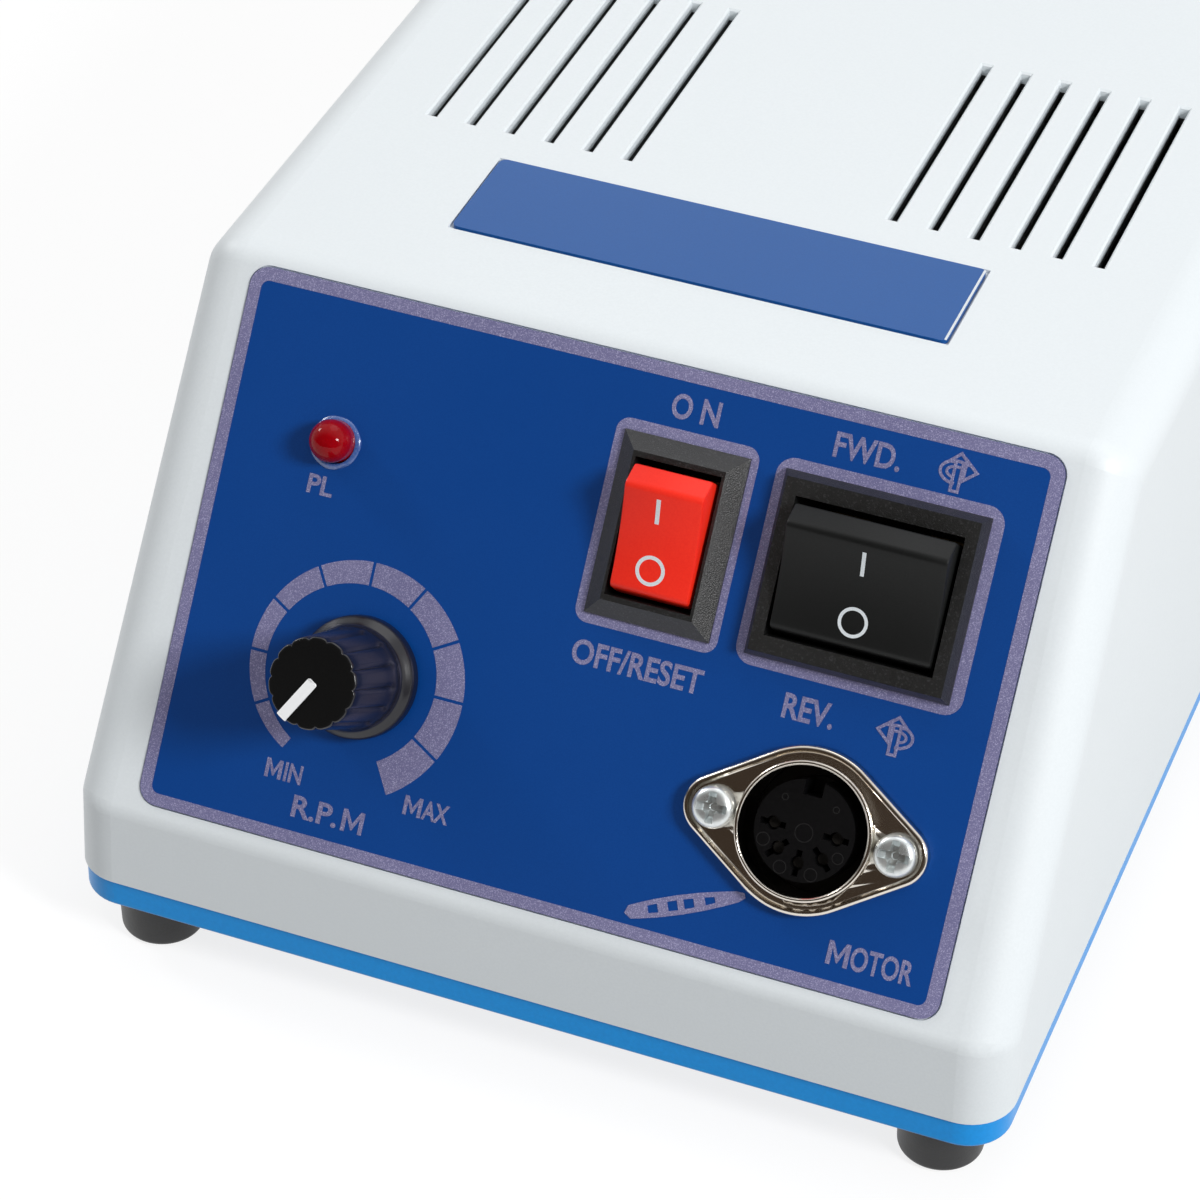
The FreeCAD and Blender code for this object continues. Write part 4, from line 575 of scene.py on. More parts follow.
def turnSign(sheet, x, y, side):
    # arrow up the spindle with an arrow turning round it
    sheet.stroke([(x + a, y + b) for a, b in turnSigns["spindle"]], turnSigns["line"], closed=True)
    for line, kind in (("line", "outerArc"), ("innerLine", "innerArc")):
        reach, start, sweep, steps = turnSigns[kind]
        middle = (x + side * turnSigns["middle"][0], y + turnSigns["middle"][1])
        sheet.stroke(arc(*middle, (side * reach[0], reach[1]), start, sweep, steps), turnSigns[line])
    sheet.stroke([(x + side * a, y + b) for a, b in turnSigns["tip"]], turnSigns["line"], closed=True)


def handpieceSign(sheet):
    # a slim handpiece lying at a slant
    start, end = Vector(handpiece["start"]), Vector(handpiece["end"])
    along = (end - start).normalized()
    normal = Vector((-along.y, along.x))

    def places(path):
        return [tuple(start + along * (share * (end - start).length) + normal * offset) for share, offset in path]

    def bothSides(side):
        return [(share, -offset) for share, offset in side] + side[::-1]

    sheet.stroke(places([(0.0, 0.0)] + bothSides(handpiece["side"])), handpiece["line"], closed=True)
    for share, width in handpiece["bands"]:
        sheet.stroke(places([(share, -handpiece["bandReach"]), (share, handpiece["bandReach"])]), width)
    for side in handpiece["fills"]:
        sheet.patch(places(bothSides(side)))


def panelPrint():
    sheet = Sheet(plateInk["low"], plateInk["high"])
    for outer, outerCorner, inner, innerCorner in plateInk["frames"]:
        sheet.ring(roundedLoop(outer, outerCorner), roundedLoop(inner, innerCorner))
    for text, *box in plateWords:
        sheet.word(text, *box)
    for place in letterMs["places"]:
        letterM(sheet, *place)
    for place in turnSigns["places"]:
        turnSign(sheet, *place)
    handpieceSign(sheet)
    return sheet.made("panelPrint", panelToWorld)


addPiece("panelPrint", panelPrint(), "housing", "lilacPrint")
print("printed the panel")


speedDial = {"Segments": 10, "Steps": 15, "Inner Radius": 10.46, "Start Width": 1.5, "End Width": 4.0,
             "Start Angle": 240.0, "Sweep": 300.0, "Gap": 0.36, "Low": -0.05, "High": 0.02}
dialMiddle = (-26.6, -11.23, 0.0)
# below this, in millimetres, the points of a grown mesh are joined
weldDistance = 0.001


def dialTree():
    # a strip for each segment, bent round the middle and given its thickness
    tree, g, out = shapeGroup("dialSegments", speedDial)
    points = addNode(tree, "GeometryNodePoints", {"Count": g["Segments"]})
    index = addNode(tree, "GeometryNodeInputIndex")
    marked = addNode(tree, "GeometryNodeStoreNamedAttribute",
                     {"Geometry": points.outputs[0], "Name": "segment", "Value": index.outputs[0]},
                     data_type="FLOAT", domain="POINT")
    grid = addNode(tree, "GeometryNodeMeshGrid",
                   {"Size X": 1.0, "Size Y": 1.0, "Vertices X": g["Steps"], "Vertices Y": 2})
    copies = addNode(tree, "GeometryNodeInstanceOnPoints", {"Points": marked.outputs[0], "Instance": grid.outputs[0]})
    real = addNode(tree, "GeometryNodeRealizeInstances", {0: copies.outputs[0]})
    place = splitPosition(tree)
    along = calc(tree, "ADD", place["X"], 0.5)
    depth = calc(tree, "ADD", place["Y"], 0.5)
    segment = addNode(tree, "GeometryNodeInputNamedAttribute", {"Name": "segment"}, data_type="FLOAT")
    share = calc(tree, "DIVIDE", calc(tree, "ADD", segment.outputs[0], along), g["Segments"])
    widening = calc(tree, "SUBTRACT", g["End Width"], g["Start Width"])
    width = calc(tree, "MULTIPLY_ADD", widening, share, g["Start Width"])
    radius = calc(tree, "MULTIPLY_ADD", width, depth, g["Inner Radius"])
    degrees = calc(tree, "SUBTRACT", g["Start Angle"], calc(tree, "MULTIPLY", g["Sweep"], share))
    squeeze = calc(tree, "DIVIDE", calc(tree, "MULTIPLY", calc(tree, "SUBTRACT", along, 0.5), g["Gap"]), radius)
    angle = calc(tree, "ADD", calc(tree, "RADIANS", degrees), squeeze)
    bent = addNode(tree, "GeometryNodeSetPosition",
                   {"Geometry": real.outputs[0], "Position": roundPlace(tree, radius, angle, g["Low"])})
    raised = addNode(tree, "GeometryNodeExtrudeMesh",
                     {"Mesh": bent.outputs[0], "Offset": alongZ(tree, calc(tree, "SUBTRACT", g["High"], g["Low"])),
                      "Offset Scale": 1.0, "Individual": False})
    floor = addNode(tree, "GeometryNodeFlipFaces", {"Mesh": bent.outputs[0]})
    both = addNode(tree, "GeometryNodeJoinGeometry")
    for part in (floor, raised):
        feed(tree, both, {0: part.outputs[0]})
    closed = addNode(tree, "GeometryNodeMergeByDistance", {"Geometry": both.outputs[0], "Distance": weldDistance})
    return closeShape(tree, g, out, closed.outputs[0])


dialStart = meshOf("dialStart", [(0, 0, 0)], [])
dial = grown("speedDial", dialStart, dialTree(), dict(speedDial, Material=finishes["lilacPrint"]))
dial.transform(panelToWorld @ Matrix.Translation(dialMiddle))
addPiece("speedDial", dial, "housing", "lilacPrint")
print("dial has", len(dial.polygons), "faces")


rockerShape = {"edge": (6.2, 3.4), "nose": (7.7, 0.6), "skirt": (5.6, -4.6), "dish": 0.51, "faceLean": 0.21,
               "faceSteps": 16, "tilt": 15.0, "pivot": 0.9, "rounds": (0.9, 0.5), "roundSteps": 6, "sideRound": 0.3,
               "sideShare": 0.3, "sharpAngle": 40.0}
rockers = {
    "powerRocker": {"node": "power_switch_rocker", "width": 9.4, "place": (6.5, 13.2), "finish": "redRocker"},
    "directionRocker": {"node": "direction_switch_rocker", "width": 18.8, "place": (30.2, 13.2),
                        "finish": "blackRocker"}}


def roundedCorner(before, here, after, radius):
    # a corner of the outline turned into an arc
    first, second = (before - here).normalized(), (after - here).normalized()
    half = first.angle(second) / 2
    middle = here + (first + second).normalized() * (radius / math.sin(half))
    start = here + first * (radius / math.tan(half)) - middle
    stop = here + second * (radius / math.tan(half)) - middle
    full, steps = start.angle_signed(stop), rockerShape["roundSteps"]
    return [middle + Matrix.Rotation(-full * step / steps, 2) @ start for step in range(steps + 1)]


def rockerOutline():
    # hollow face, blunt ends and foot of a rocker, seen from its side
    edge, nose, skirt = (Vector(rockerShape[key]) for key in ("edge", "nose", "skirt"))
    edgeRound, noseRound = rockerShape["rounds"]
    half = roundedCorner(edge - Vector((1.0, rockerShape["faceLean"])), edge, nose, edgeRound)
    half += roundedCorner(edge, nose, skirt, noseRound) + [skirt]
    loop = half + [Vector((-point.x, point.y)) for point in reversed(half)]
    start, end = loop[-1], loop[0]
    for step in range(1, rockerShape["faceSteps"]):
        share = step / rockerShape["faceSteps"]
        x = start.x + (end.x - start.x) * share
        loop.append(Vector((x, start.y - rockerShape["dish"] * (1.0 - (2.0 * share - 1.0) ** 2))))
    return loop


def rockerMesh(name, kind):
    outline = rockerOutline()
    count = len(outline)
    normals = []
    for i in range(count):
        run = outline[(i + 1) % count] - outline[i - 1]
        normals.append(Vector((-run.y, run.x)).normalized())
    middle = sum(outline, Vector((0.0, 0.0))) / count
    if normals[0].dot(outline[0] - middle) < 0:
        normals = [-normal for normal in normals]
    half, rounding, share = kind["width"] / 2, rockerShape["sideRound"], rockerShape["sideShare"]
    tip = math.radians(rockerShape["tilt"])
    sections = [(-half, rounding), (-half + share * rounding, share * rounding), (-half + rounding, 0.0)]
    sections += [(-x, inset) for x, inset in reversed(sections)]
    points, faces = [], []
    for x, inset in sections:
        for here, normal in zip(outline, normals):
            y, z = here - normal * inset
            points.append((kind["place"][0] + x, kind["place"][1] + y * math.cos(tip) - z * math.sin(tip),
                           rockerShape["pivot"] + y * math.sin(tip) + z * math.cos(tip)))
    for k in range(len(sections) - 1):
        for i in range(count):
            j = (i + 1) % count
            faces.append((k * count + i, k * count + j, (k + 1) * count + j, (k + 1) * count + i))
    last = (len(sections) - 1) * count
    faces += [tuple(reversed(range(count))), tuple(last + i for i in range(count))]
    mesh = meshOf(name, points, faces)
    work = bmesh.new()
    work.from_mesh(mesh)
    bmesh.ops.recalc_face_normals(work, faces=work.faces)
    work.to_mesh(mesh)
    work.free()
    shadeSmooth(mesh, rockerShape["sharpAngle"])
    mesh.transform(panelToWorld)
    return mesh


for name, kind in rockers.items():
    node = kind["node"]
    addPiece(name, rockerMesh(name, kind), nodeBodies[node], kind["finish"], (node,))
print("shaped the rockers")


# bar: middle, low and high end, width; ring: middle, outer and inner radius
rockerMarks = {
    "powerMarks": {"on": "powerRocker", "body": "power_rocker", "slot": "red_rocker",
                   "bar": (6.05, 14.45, 17.25, 0.5), "ring": (6.2, 9.1, 1.73, 1.3)},
    "directionMarks": {"on": "directionRocker", "body": "direction_rocker", "slot": "black_rocker",
                       "bar": (30.15, 14.4, 17.1, 0.45), "ring": (30.1, 9.1, 1.73, 1.35)}}
markShape = {"above": 0.02, "below": 0.03, "lean": -0.02, "barSteps": 8, "ringSteps": 48, "rayHeight": 30.0}


def surfaceTree(mesh):
    return BVHTree.FromPolygons([v.co.copy() for v in mesh.vertices], [tuple(p.vertices) for p in mesh.polygons])


def ringRows(x, y, radii, steps):
    turns = [math.tau * step / steps for step in range(steps + 1)]
    return [[(x + radius * math.cos(turn), y + radius * math.sin(turn)) for radius in radii] for turn in turns]


def drapedStrip(rows, tree, points, faces):
    # rows of panel points, laid on the surface below them and given a thickness
    base, columns = len(points), len(rows[0])
    for lift in (markShape["above"], -markShape["below"]):
        for x, y in (spot for row in rows for spot in row):
            hit = tree.ray_cast(panelToWorld @ Vector((x, y, markShape["rayHeight"])), -outward)[0]
            points.append(hit + outward * (lift * mm))
    under = len(rows) * columns
    for i in range(len(rows) - 1):
        for j in range(columns - 1):
            a, b = base + i * columns + j, base + i * columns + j + 1
            c, d = a + columns, b + columns
            faces += [(a, b, d, c), (a + under, c + under, d + under, b + under)]
    rim = [(0, j) for j in range(columns)] + [(i, columns - 1) for i in range(1, len(rows))]
    rim += [(len(rows) - 1, j) for j in range(columns - 2, -1, -1)] + [(i, 0) for i in range(len(rows) - 2, 0, -1)]
    for k, spot in enumerate(rim):
        other = rim[(k + 1) % len(rim)]
        a, b = base + spot[0] * columns + spot[1], base + other[0] * columns + other[1]
        faces.append((b, a, a + under, b + under))


def markMesh(name, marks):
    tree = surfaceTree(bpy.data.objects[marks["on"]].data)
    points, faces, rows = [], [], []
    x, low, high, width = marks["bar"]
    for step in range(markShape["barSteps"] + 1):
        y = low + (high - low) * step / markShape["barSteps"]
        lean = markShape["lean"] * (y - (low + high) / 2)
        rows.append([(x + lean - width / 2, y), (x + lean + width / 2, y)])
    drapedStrip(rows, tree, points, faces)
    x, y, *radii = marks["ring"]
    drapedStrip(ringRows(x, y, radii, markShape["ringSteps"]), tree, points, faces)
    return meshOf(name, points, faces)


for name, marks in rockerMarks.items():
    addPiece(name, markMesh(name, marks), marks["body"], "markWhite")
print("marked the rockers")


knobShape = {"Flutes": 14, "Samples": 20, "Flute Depth": 0.3, "Sharpness": 2.4}
# radius, height over the plate, share of the flute's depth; in millimetres
knobProfile = [
    (0.0, 16.08, 0.0), (2.5, 16.08, 0.0), (4.3, 16.08, 0.0), (4.62, 16.08, 0.5), (4.95, 16.08, 1.0), (5.1, 16.02, 1.0),
    (5.22, 15.88, 1.0), (5.28, 15.6, 1.0), (5.36, 14.0, 1.0), (5.55, 10.0, 1.0), (5.74, 6.4, 1.0), (5.82, 5.35, 1.0),
    (5.86, 5.1, 0.7), (5.92, 4.75, 0.25), (5.97, 4.2, 0.0), (6.0, 3.6, 0.0), (6.06, 3.3, 0.0), (6.2, 3.08, 0.0),
    (6.5, 2.79, 0.0), (6.85, 2.46, 0.0), (7.02, 2.28, 0.0), (7.12, 2.05, 0.0), (7.16, 1.7, 0.0), (7.17, 0.62, 0.0),
    (7.05, 0.5, 0.0), (5.95, 0.5, 0.0), (5.95, 2.8, 0.0), (3.03, 2.8, 0.0), (3.03, 11.5, 0.0), (0.0, 11.5, 0.0)]
knobSeat = {"place": (-25.3, -11.2, 0.0), "turn": 236.0, "capLevel": 16.04, "sharpAngle": 38.0}


def knobTree():
    # the profile turned round the shaft, its wall pulled in along the flutes
    tree, g, out = shapeGroup("flutedKnob", knobShape)
    rows = addNode(tree, "GeometryNodeAttributeDomainSize", {"Geometry": g["Geometry"]}, component="MESH").outputs[0]
    columns = calc(tree, "MULTIPLY", g["Flutes"], g["Samples"])
    grid = addNode(tree, "GeometryNodeMeshGrid", {"Vertices X": calc(tree, "ADD", columns, 1.0), "Vertices Y": rows})
    index = addNode(tree, "GeometryNodeInputIndex").outputs[0]
    row = calc(tree, "MODULO", index, rows)
    column = calc(tree, "FLOOR", calc(tree, "DIVIDE", index, rows))
    position = addNode(tree, "GeometryNodeInputPosition").outputs[0]
    shares = addNode(tree, "GeometryNodeInputNamedAttribute", {"Name": "fluteShare"}, data_type="FLOAT").outputs[0]
    profile, share = (
        addNode(tree, "GeometryNodeSampleIndex", {"Geometry": g["Geometry"], "Value": value, "Index": row},
                data_type=kind, domain="POINT").outputs[0]
        for value, kind in ((position, "FLOAT_VECTOR"), (shares, "FLOAT")))
    place = addNode(tree, "ShaderNodeSeparateXYZ", {0: profile}).outputs
    angle = calc(tree, "MULTIPLY", calc(tree, "DIVIDE", column, columns), -math.tau)
    halfTurn = calc(tree, "MULTIPLY", calc(tree, "MULTIPLY", angle, g["Flutes"]), 0.5)
    wave = calc(tree, "SUBTRACT", 1.0, calc(tree, "ABSOLUTE", calc(tree, "SINE", halfTurn)))
    hollow = calc(tree, "MULTIPLY", calc(tree, "POWER", wave, g["Sharpness"]), g["Flute Depth"])
    radius = calc(tree, "SUBTRACT", place["X"], calc(tree, "MULTIPLY", hollow, share))
    turned = addNode(tree, "GeometryNodeSetPosition",
                     {"Geometry": grid.outputs[0], "Position": roundPlace(tree, radius, angle, place["Z"])})
    closed = addNode(tree, "GeometryNodeMergeByDistance", {"Geometry": turned.outputs[0], "Distance": weldDistance})
    return closeShape(tree, g, out, closed.outputs[0])


profileMesh = meshOf("knobProfile", [(radius, 0.0, height) for radius, height, share in knobProfile], [])
fluteShares = profileMesh.attributes.new("fluteShare", "FLOAT", "POINT")
fluteShares.data.foreach_set("value", [share for radius, height, share in knobProfile])
knob = grown("speedKnob", profileMesh, knobTree(), dict(knobShape, Material=finishes["knobBlack"]))
capFaces = [face.index for face in knob.polygons if face.center.z > knobSeat["capLevel"]]
shadeSmooth(knob, knobSeat["sharpAngle"])
knob.transform(panelToWorld @ Matrix.Translation(knobSeat["place"])
               @ Matrix.Rotation(math.radians(knobSeat["turn"]), 4, "Z"))
addPiece("speedKnob", knob, "speed_control", "knobBlack", ("speed_knob",))
knob.materials.append(finishes["knobCap"])
for index in capFaces:
    knob.polygons[index].material_index = 1
print("turned the knob with", len(knob.polygons), "faces")


# the first five are shares of the head's size, apart from the seed
screwShape = {"Recess Reach": 1.1, "Recess Width": 0.44, "Recess Depth": 0.6, "Taper": 0.6, "Seed": 5}
screwForm = {"across": 41, "down": 11, "crownShare": 0.8, "fullness": 0.5, "slimming": 0.25, "tipSides": 16,
             "tipTop": 1.15, "tipFoot": 0.35, "tipDrop": 0.58, "shankSides": 20, "sunk": 0.05, "sharpAngle": 30.0}
rearward, upward, downward = Vector((0, 1, 0)), Vector((0, 0, 1)), Vector((0, 0, -1))
# head radius and height in millimetres, and the way each head faces
screwSets = {
    "socketScrews": {"node": "socket_screws", "axis": outward, "head": (2.5, 2.0), "shank": 1.45},
    "inletScrews": {"node": "mains_inlet_screws", "axis": rearward, "head": (2.5, 2.0), "shank": 1.45},
    "modeScrews": {"node": "mode_switch_screws", "axis": rearward, "head": (2.3, 1.5), "shank": 1.2},
    "coverScrews": {"node": "cover_screws", "axis": downward, "head": (2.75, 1.9), "shank": 1.45},
    "boardScrews": {"node": "board_screws", "axis": upward, "head": (2.3, 1.5), "shank": 1.2},
    "transformerScrews": {"node": "transformer_screws", "axis": upward, "head": (2.3, 1.5), "shank": 1.2}}


def screwTree():
    # a pan head with a cross recess on each seat point, turned at random
    tree, g, out = shapeGroup("crossScrews", {"Head Radius": 2.5, "Head Height": 2.0, "Shank Radius": 1.45,
                                              "Shank Length": 8.0, **screwShape})
    grid = addNode(tree, "GeometryNodeMeshGrid", {"Size X": 1.0, "Size Y": 1.0, "Vertices X": screwForm["across"],
                                                  "Vertices Y": screwForm["down"]})
    place = splitPosition(tree)
    angle = calc(tree, "MULTIPLY", calc(tree, "ADD", place["X"], 0.5), -math.tau)
    step = calc(tree, "ADD", place["Y"], 0.5)
    crownShare = screwForm["crownShare"]
    swept = calc(tree, "MULTIPLY", calc(tree, "MINIMUM", calc(tree, "DIVIDE", step, crownShare), 1.0), math.pi / 2)
    under = calc(tree, "MULTIPLY", calc(tree, "MAXIMUM", calc(tree, "SUBTRACT", step, crownShare), 0.0),
                 1.0 / (1.0 - crownShare))
    wide = calc(tree, "SUBTRACT", calc(tree, "POWER", calc(tree, "SINE", swept), screwForm["fullness"]), under)
    crown = calc(tree, "POWER", calc(tree, "MAXIMUM", calc(tree, "COSINE", swept), 0.0), screwForm["fullness"])
    spot = roundPlace(tree, calc(tree, "MULTIPLY", g["Head Radius"], wide), angle,
                      calc(tree, "MULTIPLY", crown, g["Head Height"]))
    bent = addNode(tree, "GeometryNodeSetPosition", {"Geometry": grid.outputs[0], "Position": spot})
    head = addNode(tree, "GeometryNodeMergeByDistance", {"Geometry": bent.outputs[0], "Distance": weldDistance})
    # two tapered wings and a cone cut the recess
    reach = calc(tree, "MULTIPLY", calc(tree, "MULTIPLY", g["Recess Reach"], g["Head Radius"]), 2.0)
    width = calc(tree, "MULTIPLY", g["Recess Width"], g["Head Radius"])
    depth = calc(tree, "MULTIPLY", calc(tree, "MULTIPLY", g["Recess Depth"], g["Head Height"]), 2.0)
    size = addNode(tree, "ShaderNodeCombineXYZ", {0: reach, 1: width, 2: depth})
    wing = addNode(tree, "GeometryNodeMeshCube", {"Size": size.outputs[0]})
    corner = splitPosition(tree)
    low = calc(tree, "LESS_THAN", corner["Z"], 0.0)
    narrow = calc(tree, "SUBTRACT", 1.0, calc(tree, "MULTIPLY", low, g["Taper"]))
    slim = calc(tree, "SUBTRACT", 1.0, calc(tree, "MULTIPLY", low, screwForm["slimming"]))
    pulled = addNode(tree, "ShaderNodeCombineXYZ", {0: calc(tree, "MULTIPLY", corner["X"], narrow),
                                                    1: calc(tree, "MULTIPLY", corner["Y"], slim), 2: corner["Z"]})
    tapered = addNode(tree, "GeometryNodeSetPosition", {"Geometry": wing.outputs[0], "Position": pulled.outputs[0]})
    wings = [addNode(tree, "GeometryNodeTransform", {"Geometry": tapered.outputs[0], "Rotation": (0.0, 0.0, turn),
                                                     "Translation": alongZ(tree, g["Head Height"])})
             for turn in (0.0, math.pi / 2)]
    cone = addNode(tree, "GeometryNodeMeshCone",
                   {"Vertices": screwForm["tipSides"], "Radius Top": calc(tree, "MULTIPLY", width, screwForm["tipTop"]),
                    "Radius Bottom": calc(tree, "MULTIPLY", width, screwForm["tipFoot"]), "Depth": depth})
    drop = calc(tree, "SUBTRACT", g["Head Height"], calc(tree, "MULTIPLY", depth, screwForm["tipDrop"]))
    tip = addNode(tree, "GeometryNodeTransform", {"Geometry": cone.outputs[0], "Translation": alongZ(tree, drop)})
    cut = addNode(tree, "GeometryNodeMeshBoolean", {"Mesh 1": head.outputs[0]}, operation="DIFFERENCE", solver="EXACT")
    for cutter in (*wings, tip):
        feed(tree, cut, {"Mesh 2": cutter.outputs[0]})
    shank = addNode(tree, "GeometryNodeMeshCylinder", {"Vertices": screwForm["shankSides"], "Radius": g["Shank Radius"],
                                                       "Depth": g["Shank Length"]})
    sink = calc(tree, "SUBTRACT", screwForm["sunk"], calc(tree, "MULTIPLY", g["Shank Length"], 0.5))
    lowered = addNode(tree, "GeometryNodeTransform", {"Geometry": shank.outputs[0], "Translation": alongZ(tree, sink)})
    whole = addNode(tree, "GeometryNodeJoinGeometry")
    for part in (lowered, cut):
        feed(tree, whole, {0: part.outputs[0]})
    chance = addNode(tree, "FunctionNodeRandomValue", {2: 0.0, 3: math.pi, "Seed": g["Seed"]}, data_type="FLOAT")
    spin = addNode(tree, "FunctionNodeEulerToRotation", {0: alongZ(tree, chance.outputs[1])})
    seats = addNode(tree, "GeometryNodeMeshToPoints", {"Mesh": g["Geometry"]})
    copies = addNode(tree, "GeometryNodeInstanceOnPoints",
                     {"Points": seats.outputs[0], "Instance": whole.outputs[0], "Rotation": spin.outputs[0]})
    return closeShape(tree, g, out, copies.outputs[0])


def islands(mesh):
    # the joined groups of points in a mesh
    links = {vertex.index: [] for vertex in mesh.vertices}
    for edge in mesh.edges:
        links[edge.vertices[0]].append(edge.vertices[1])
        links[edge.vertices[1]].append(edge.vertices[0])
    left, found = set(links), []
    while left:
        waiting, island = [left.pop()], []
        while waiting:
            here = waiting.pop()
            island.append(mesh.vertices[here].co)
            for other in links[here]:
                if other in left:
                    left.remove(other)
                    waiting.append(other)
        found.append(island)
    return found


def seatFrame(node, axis):
    # the middle, top and foot of each solid of a node, seen along an axis, in millimetres
    toWorld = Matrix((across, axis.cross(across), axis)).transposed().to_4x4() @ Matrix.Scale(mm, 4)
    toLocal = toWorld.inverted()
    found = []
    for island in islands(mergedMesh(node + "Copy", node)):
        places = [toLocal @ point for point in island]
        spans = [(min(p[k] for p in places), max(p[k] for p in places)) for k in range(3)]
        found.append((sum(spans[0]) / 2, sum(spans[1]) / 2, spans[2][1], spans[2][0]))
    return toWorld, sorted(found)


screws = screwTree()
for name, kind in screwSets.items():
    toWorld, found = seatFrame(kind["node"], kind["axis"])
    radius, height = kind["head"]
    seats = meshOf(name + "Seats", [(x, y, top - height) for x, y, top, foot in found], [])
    sizes = {**screwShape, "Material": finishes["brightZinc"], "Head Radius": radius, "Head Height": height,
             "Shank Radius": kind["shank"], "Shank Length": found[0][2] - height - found[0][3]}
    mesh = grown(name, seats, screws, sizes)
    shadeSmooth(mesh, screwForm["sharpAngle"])
    mesh.transform(toWorld)
    addPiece(name, mesh, nodeBodies[kind["node"]], "brightZinc", (kind["node"],))
    print(name, len(found), "screws,", len(mesh.polygons), "faces")


def panelMiddle(node):
    # the middle of a node in millimetres on the panel
    return panelToWorld.inverted() @ (sum((Vector(corner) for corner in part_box(node)), Vector()) / 2)


# moulded circles on the socket's insert: place from its middle, radius
insertMarks = {"width": 0.13, "steps": 24, "circles": [
    (0.0, 0.0, 1.1), (-4.39, -1.82, 0.8), (-1.82, -4.39, 0.8), (1.82, -4.39, 0.8), (4.39, -1.82, 0.7),
    (-3.0, 3.4, 0.42), (3.0, 3.4, 0.42)]}


def insertMesh():
    tree = surfaceTree(cadNodes["motor_socket_insert"].data)
    middle = panelMiddle("motor_socket_insert")
    points, faces = [], []
    for x, y, radius in insertMarks["circles"]:
        radii = (radius, radius - insertMarks["width"])
        drapedStrip(ringRows(middle.x + x, middle.y + y, radii, insertMarks["steps"]), tree, points, faces)
    return meshOf("insertMarks", points, faces)


addPiece("insertMarks", insertMesh(), "housing", "insertGloss")
print("marked the insert")


# its edge wanders by waves: how many, how high, shifted by how much
lampRim = {"inner": 2.47, "outer": 3.15, "height": 0.34, "foot": -0.05, "fullness": 0.7, "steps": 64, "rings": 8,
           "waves": [(3, 0.06, 1.0), (7, 0.05, 0.0)]}


def lampRimMesh():
    # the collar of clear lacquer that holds the lamp
    middle = panelMiddle("power_lamp")
    inner, steps, rings = lampRim["inner"], lampRim["steps"], lampRim["rings"]
    points, faces = [], []
    for ring in range(rings + 1):
        share = ring / rings
        height = lampRim["height"] * math.cos(share * math.pi / 2) ** lampRim["fullness"]
        for step in range(steps):
            turn = math.tau * step / steps
            uneven = 1.0 + sum(high * math.sin(count * turn + shift) for count, high, shift in lampRim["waves"])
            wide = inner + (lampRim["outer"] - inner) * share * uneven
            points.append((middle.x + wide * math.cos(turn), middle.y + wide * math.sin(turn),
                           height if ring < rings else lampRim["foot"]))
    for step in range(steps):
        after = (step + 1) % steps
        for ring in range(rings):
            low, high = ring * steps, (ring + 1) * steps
            faces.append((low + step, high + step, high + after, low + after))
        # closed below
        faces.append((step, after, rings * steps + after, rings * steps + step))
    mesh = meshOf("lampRim", points, faces)
    shadeSmooth(mesh)
    mesh.transform(panelToWorld)
    return mesh


addPiece("lampRim", lampRimMesh(), "housing", "clearLacquer")


topStrip = {"from": 29.83, "to": 30.12, "low": -0.03, "high": 0.015, "endGap": 0.25}


def topStripMesh():
    low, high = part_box("top_plate")
    front, rear = low[1] / mm + topStrip["endGap"], high[1] / mm - topStrip["endGap"]
    sheet = Sheet(topStrip["low"], topStrip["high"])
    sheet.patch([(topStrip["from"], front), (topStrip["to"], front), (topStrip["to"], rear), (topStrip["from"], rear)])
    return sheet.made("topStrip", Matrix.Translation((0.0, 0.0, high[2])) @ Matrix.Scale(mm, 4))


addPiece("topStrip", topStripMesh(), "housing", "markWhite")
print("set the lamp's rim and the top plate's strip")


photoCamera = {"azimuth": 20.2722, "elevation": 38.2564, "roll": 1.5738, "lens": 131.30, "sensor": 36.0,
               "clip": (0.01, 20.0), "fromPlate": (134.778, -361.218, 309.165)}
studioLamps = [
    {"name": "rightLamp", "place": (0.86, -0.44, 0.71), "size": 0.30, "power": 9.0},
    {"name": "leftLamp", "place": (-0.96, 0.08, 0.72), "size": 0.24, "power": 2.8},
    {"name": "topLamp", "place": (0.1, 0.5, 1.3), "size": 0.9, "power": 2.0},
    {"name": "rearLamp", "place": (-0.45, 1.25, 0.30), "size": 0.5, "power": 1.3}]
lampAim = Vector((0.0, -0.05, 0.04))
studioAir = {"ambient": 0.45, "seen": 1.0, "front": (0.050, 0.036, 0.026), "frontTurn": (-0.6, 0.15), "floor": 0.92,
             "floorBounce": 0.35, "floorGlow": 1.08, "shadowShare": 0.25, "floorReach": 4.0, "floorHeight": -0.0002}


def studioCamera():
    turn, rise, roll = (math.radians(photoCamera[key]) for key in ("azimuth", "elevation", "roll"))
    back = Vector((math.sin(turn) * math.cos(rise), -math.cos(turn) * math.cos(rise), math.sin(rise)))
    right = Vector((math.cos(turn), math.sin(turn), 0.0))
    up = back.cross(right)
    tiltedRight = math.cos(roll) * right + math.sin(roll) * up
    tiltedUp = -math.sin(roll) * right + math.cos(roll) * up
    camera = inScene("photoCamera", bpy.data.cameras.new("photoCamera"))
    camera.data.lens, camera.data.sensor_width = photoCamera["lens"], photoCamera["sensor"]
    camera.data.clip_start, camera.data.clip_end = photoCamera["clip"]
    place = plateFace + mm * Vector(photoCamera["fromPlate"])
    camera.matrix_world = Matrix.Translation(place) @ Matrix((tiltedRight, tiltedUp, back)).transposed().to_4x4()
    bpy.context.scene.camera = camera


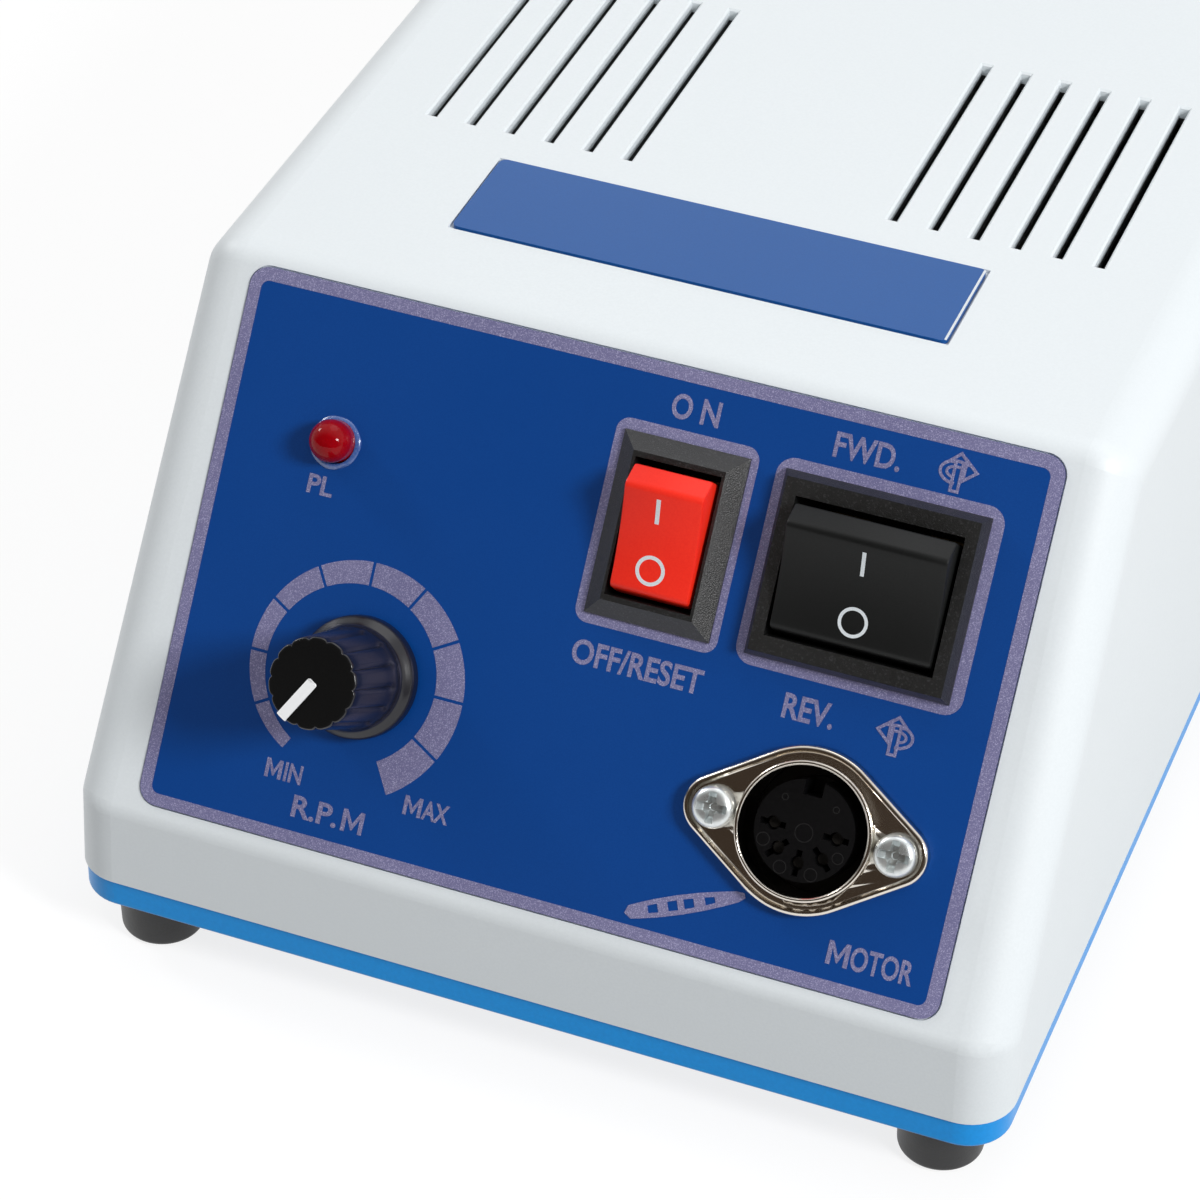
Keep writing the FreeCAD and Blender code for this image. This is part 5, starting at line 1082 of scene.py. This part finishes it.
def studioLight():
    for lamp in studioLamps:
        light = bpy.data.lights.new(lamp["name"], "AREA")
        light.shape, light.size, light.energy = "DISK", lamp["size"], lamp["power"]
        holder = inScene(lamp["name"], light)
        holder.location = lamp["place"]
        holder.rotation_euler = (lampAim - Vector(lamp["place"])).to_track_quat("-Z", "Y").to_euler()


def seenDirectly(tree):
    path = addNode(tree, "ShaderNodeLightPath").outputs
    seen = calc(tree, "MAXIMUM", path["Is Camera Ray"], path["Is Glossy Ray"])
    return calc(tree, "MAXIMUM", seen, path["Is Transmission Ray"])


def studioWorld():
    # bright behind the object, dark where the photographer stood, as metal and gloss show it
    world = bpy.data.worlds.new("studioAir")
    bpy.context.scene.world = world
    tree = clearTree(world)
    way = addNode(tree, "ShaderNodeSeparateXYZ", {0: addNode(tree, "ShaderNodeTexCoord").outputs["Generated"]})
    start, end = studioAir["frontTurn"]
    behind = addNode(tree, "ShaderNodeMapRange", {"Value": way.outputs["Y"], "From Min": start, "From Max": end},
                     interpolation_type="SMOOTHSTEP")
    mirrored = mixColor(tree, behind.outputs[0], rgba(studioAir["front"]), white)
    gloss = addNode(tree, "ShaderNodeLightPath").outputs["Is Glossy Ray"]
    strength = addNode(tree, "ShaderNodeMapRange", {"Value": seenDirectly(tree), "To Min": studioAir["ambient"],
                                                    "To Max": studioAir["seen"]})
    shader = addNode(tree, "ShaderNodeBackground", {"Color": mixColor(tree, gloss, white, mirrored),
                                                    "Strength": strength.outputs[0]})
    addNode(tree, "ShaderNodeOutputWorld", {"Surface": shader.outputs[0]})


def studioFloor():
    material = bpy.data.materials.new("paleFloor")
    tree = clearTree(material)
    seen = seenDirectly(tree)
    share = calc(tree, "MULTIPLY", seen, 1.0 - studioAir["shadowShare"])
    shade = addNode(tree, "ShaderNodeMapRange", {"Value": seen, "To Min": studioAir["floorBounce"],
                                                 "To Max": studioAir["floor"]})
    matt = addNode(tree, "ShaderNodeBsdfDiffuse", {"Color": shade.outputs[0]})
    glow = addNode(tree, "ShaderNodeEmission", {"Color": white, "Strength": studioAir["floorGlow"]})
    blend = addNode(tree, "ShaderNodeMixShader", {0: share, 1: matt.outputs[0], 2: glow.outputs[0]})
    addNode(tree, "ShaderNodeOutputMaterial", {"Surface": blend.outputs[0]})
    reach, height = studioAir["floorReach"], studioAir["floorHeight"]
    corners = [(-reach, -reach, height), (reach, -reach, height), (reach, reach, height), (-reach, reach, height)]
    mesh = meshOf("floor", corners, [(0, 1, 2, 3)])
    mesh.materials.append(material)
    inScene("floor", mesh)


studioCamera()
studioLight()
studioWorld()
studioFloor()
bpy.context.scene.view_settings.view_transform = "Standard"
print("set the studio")
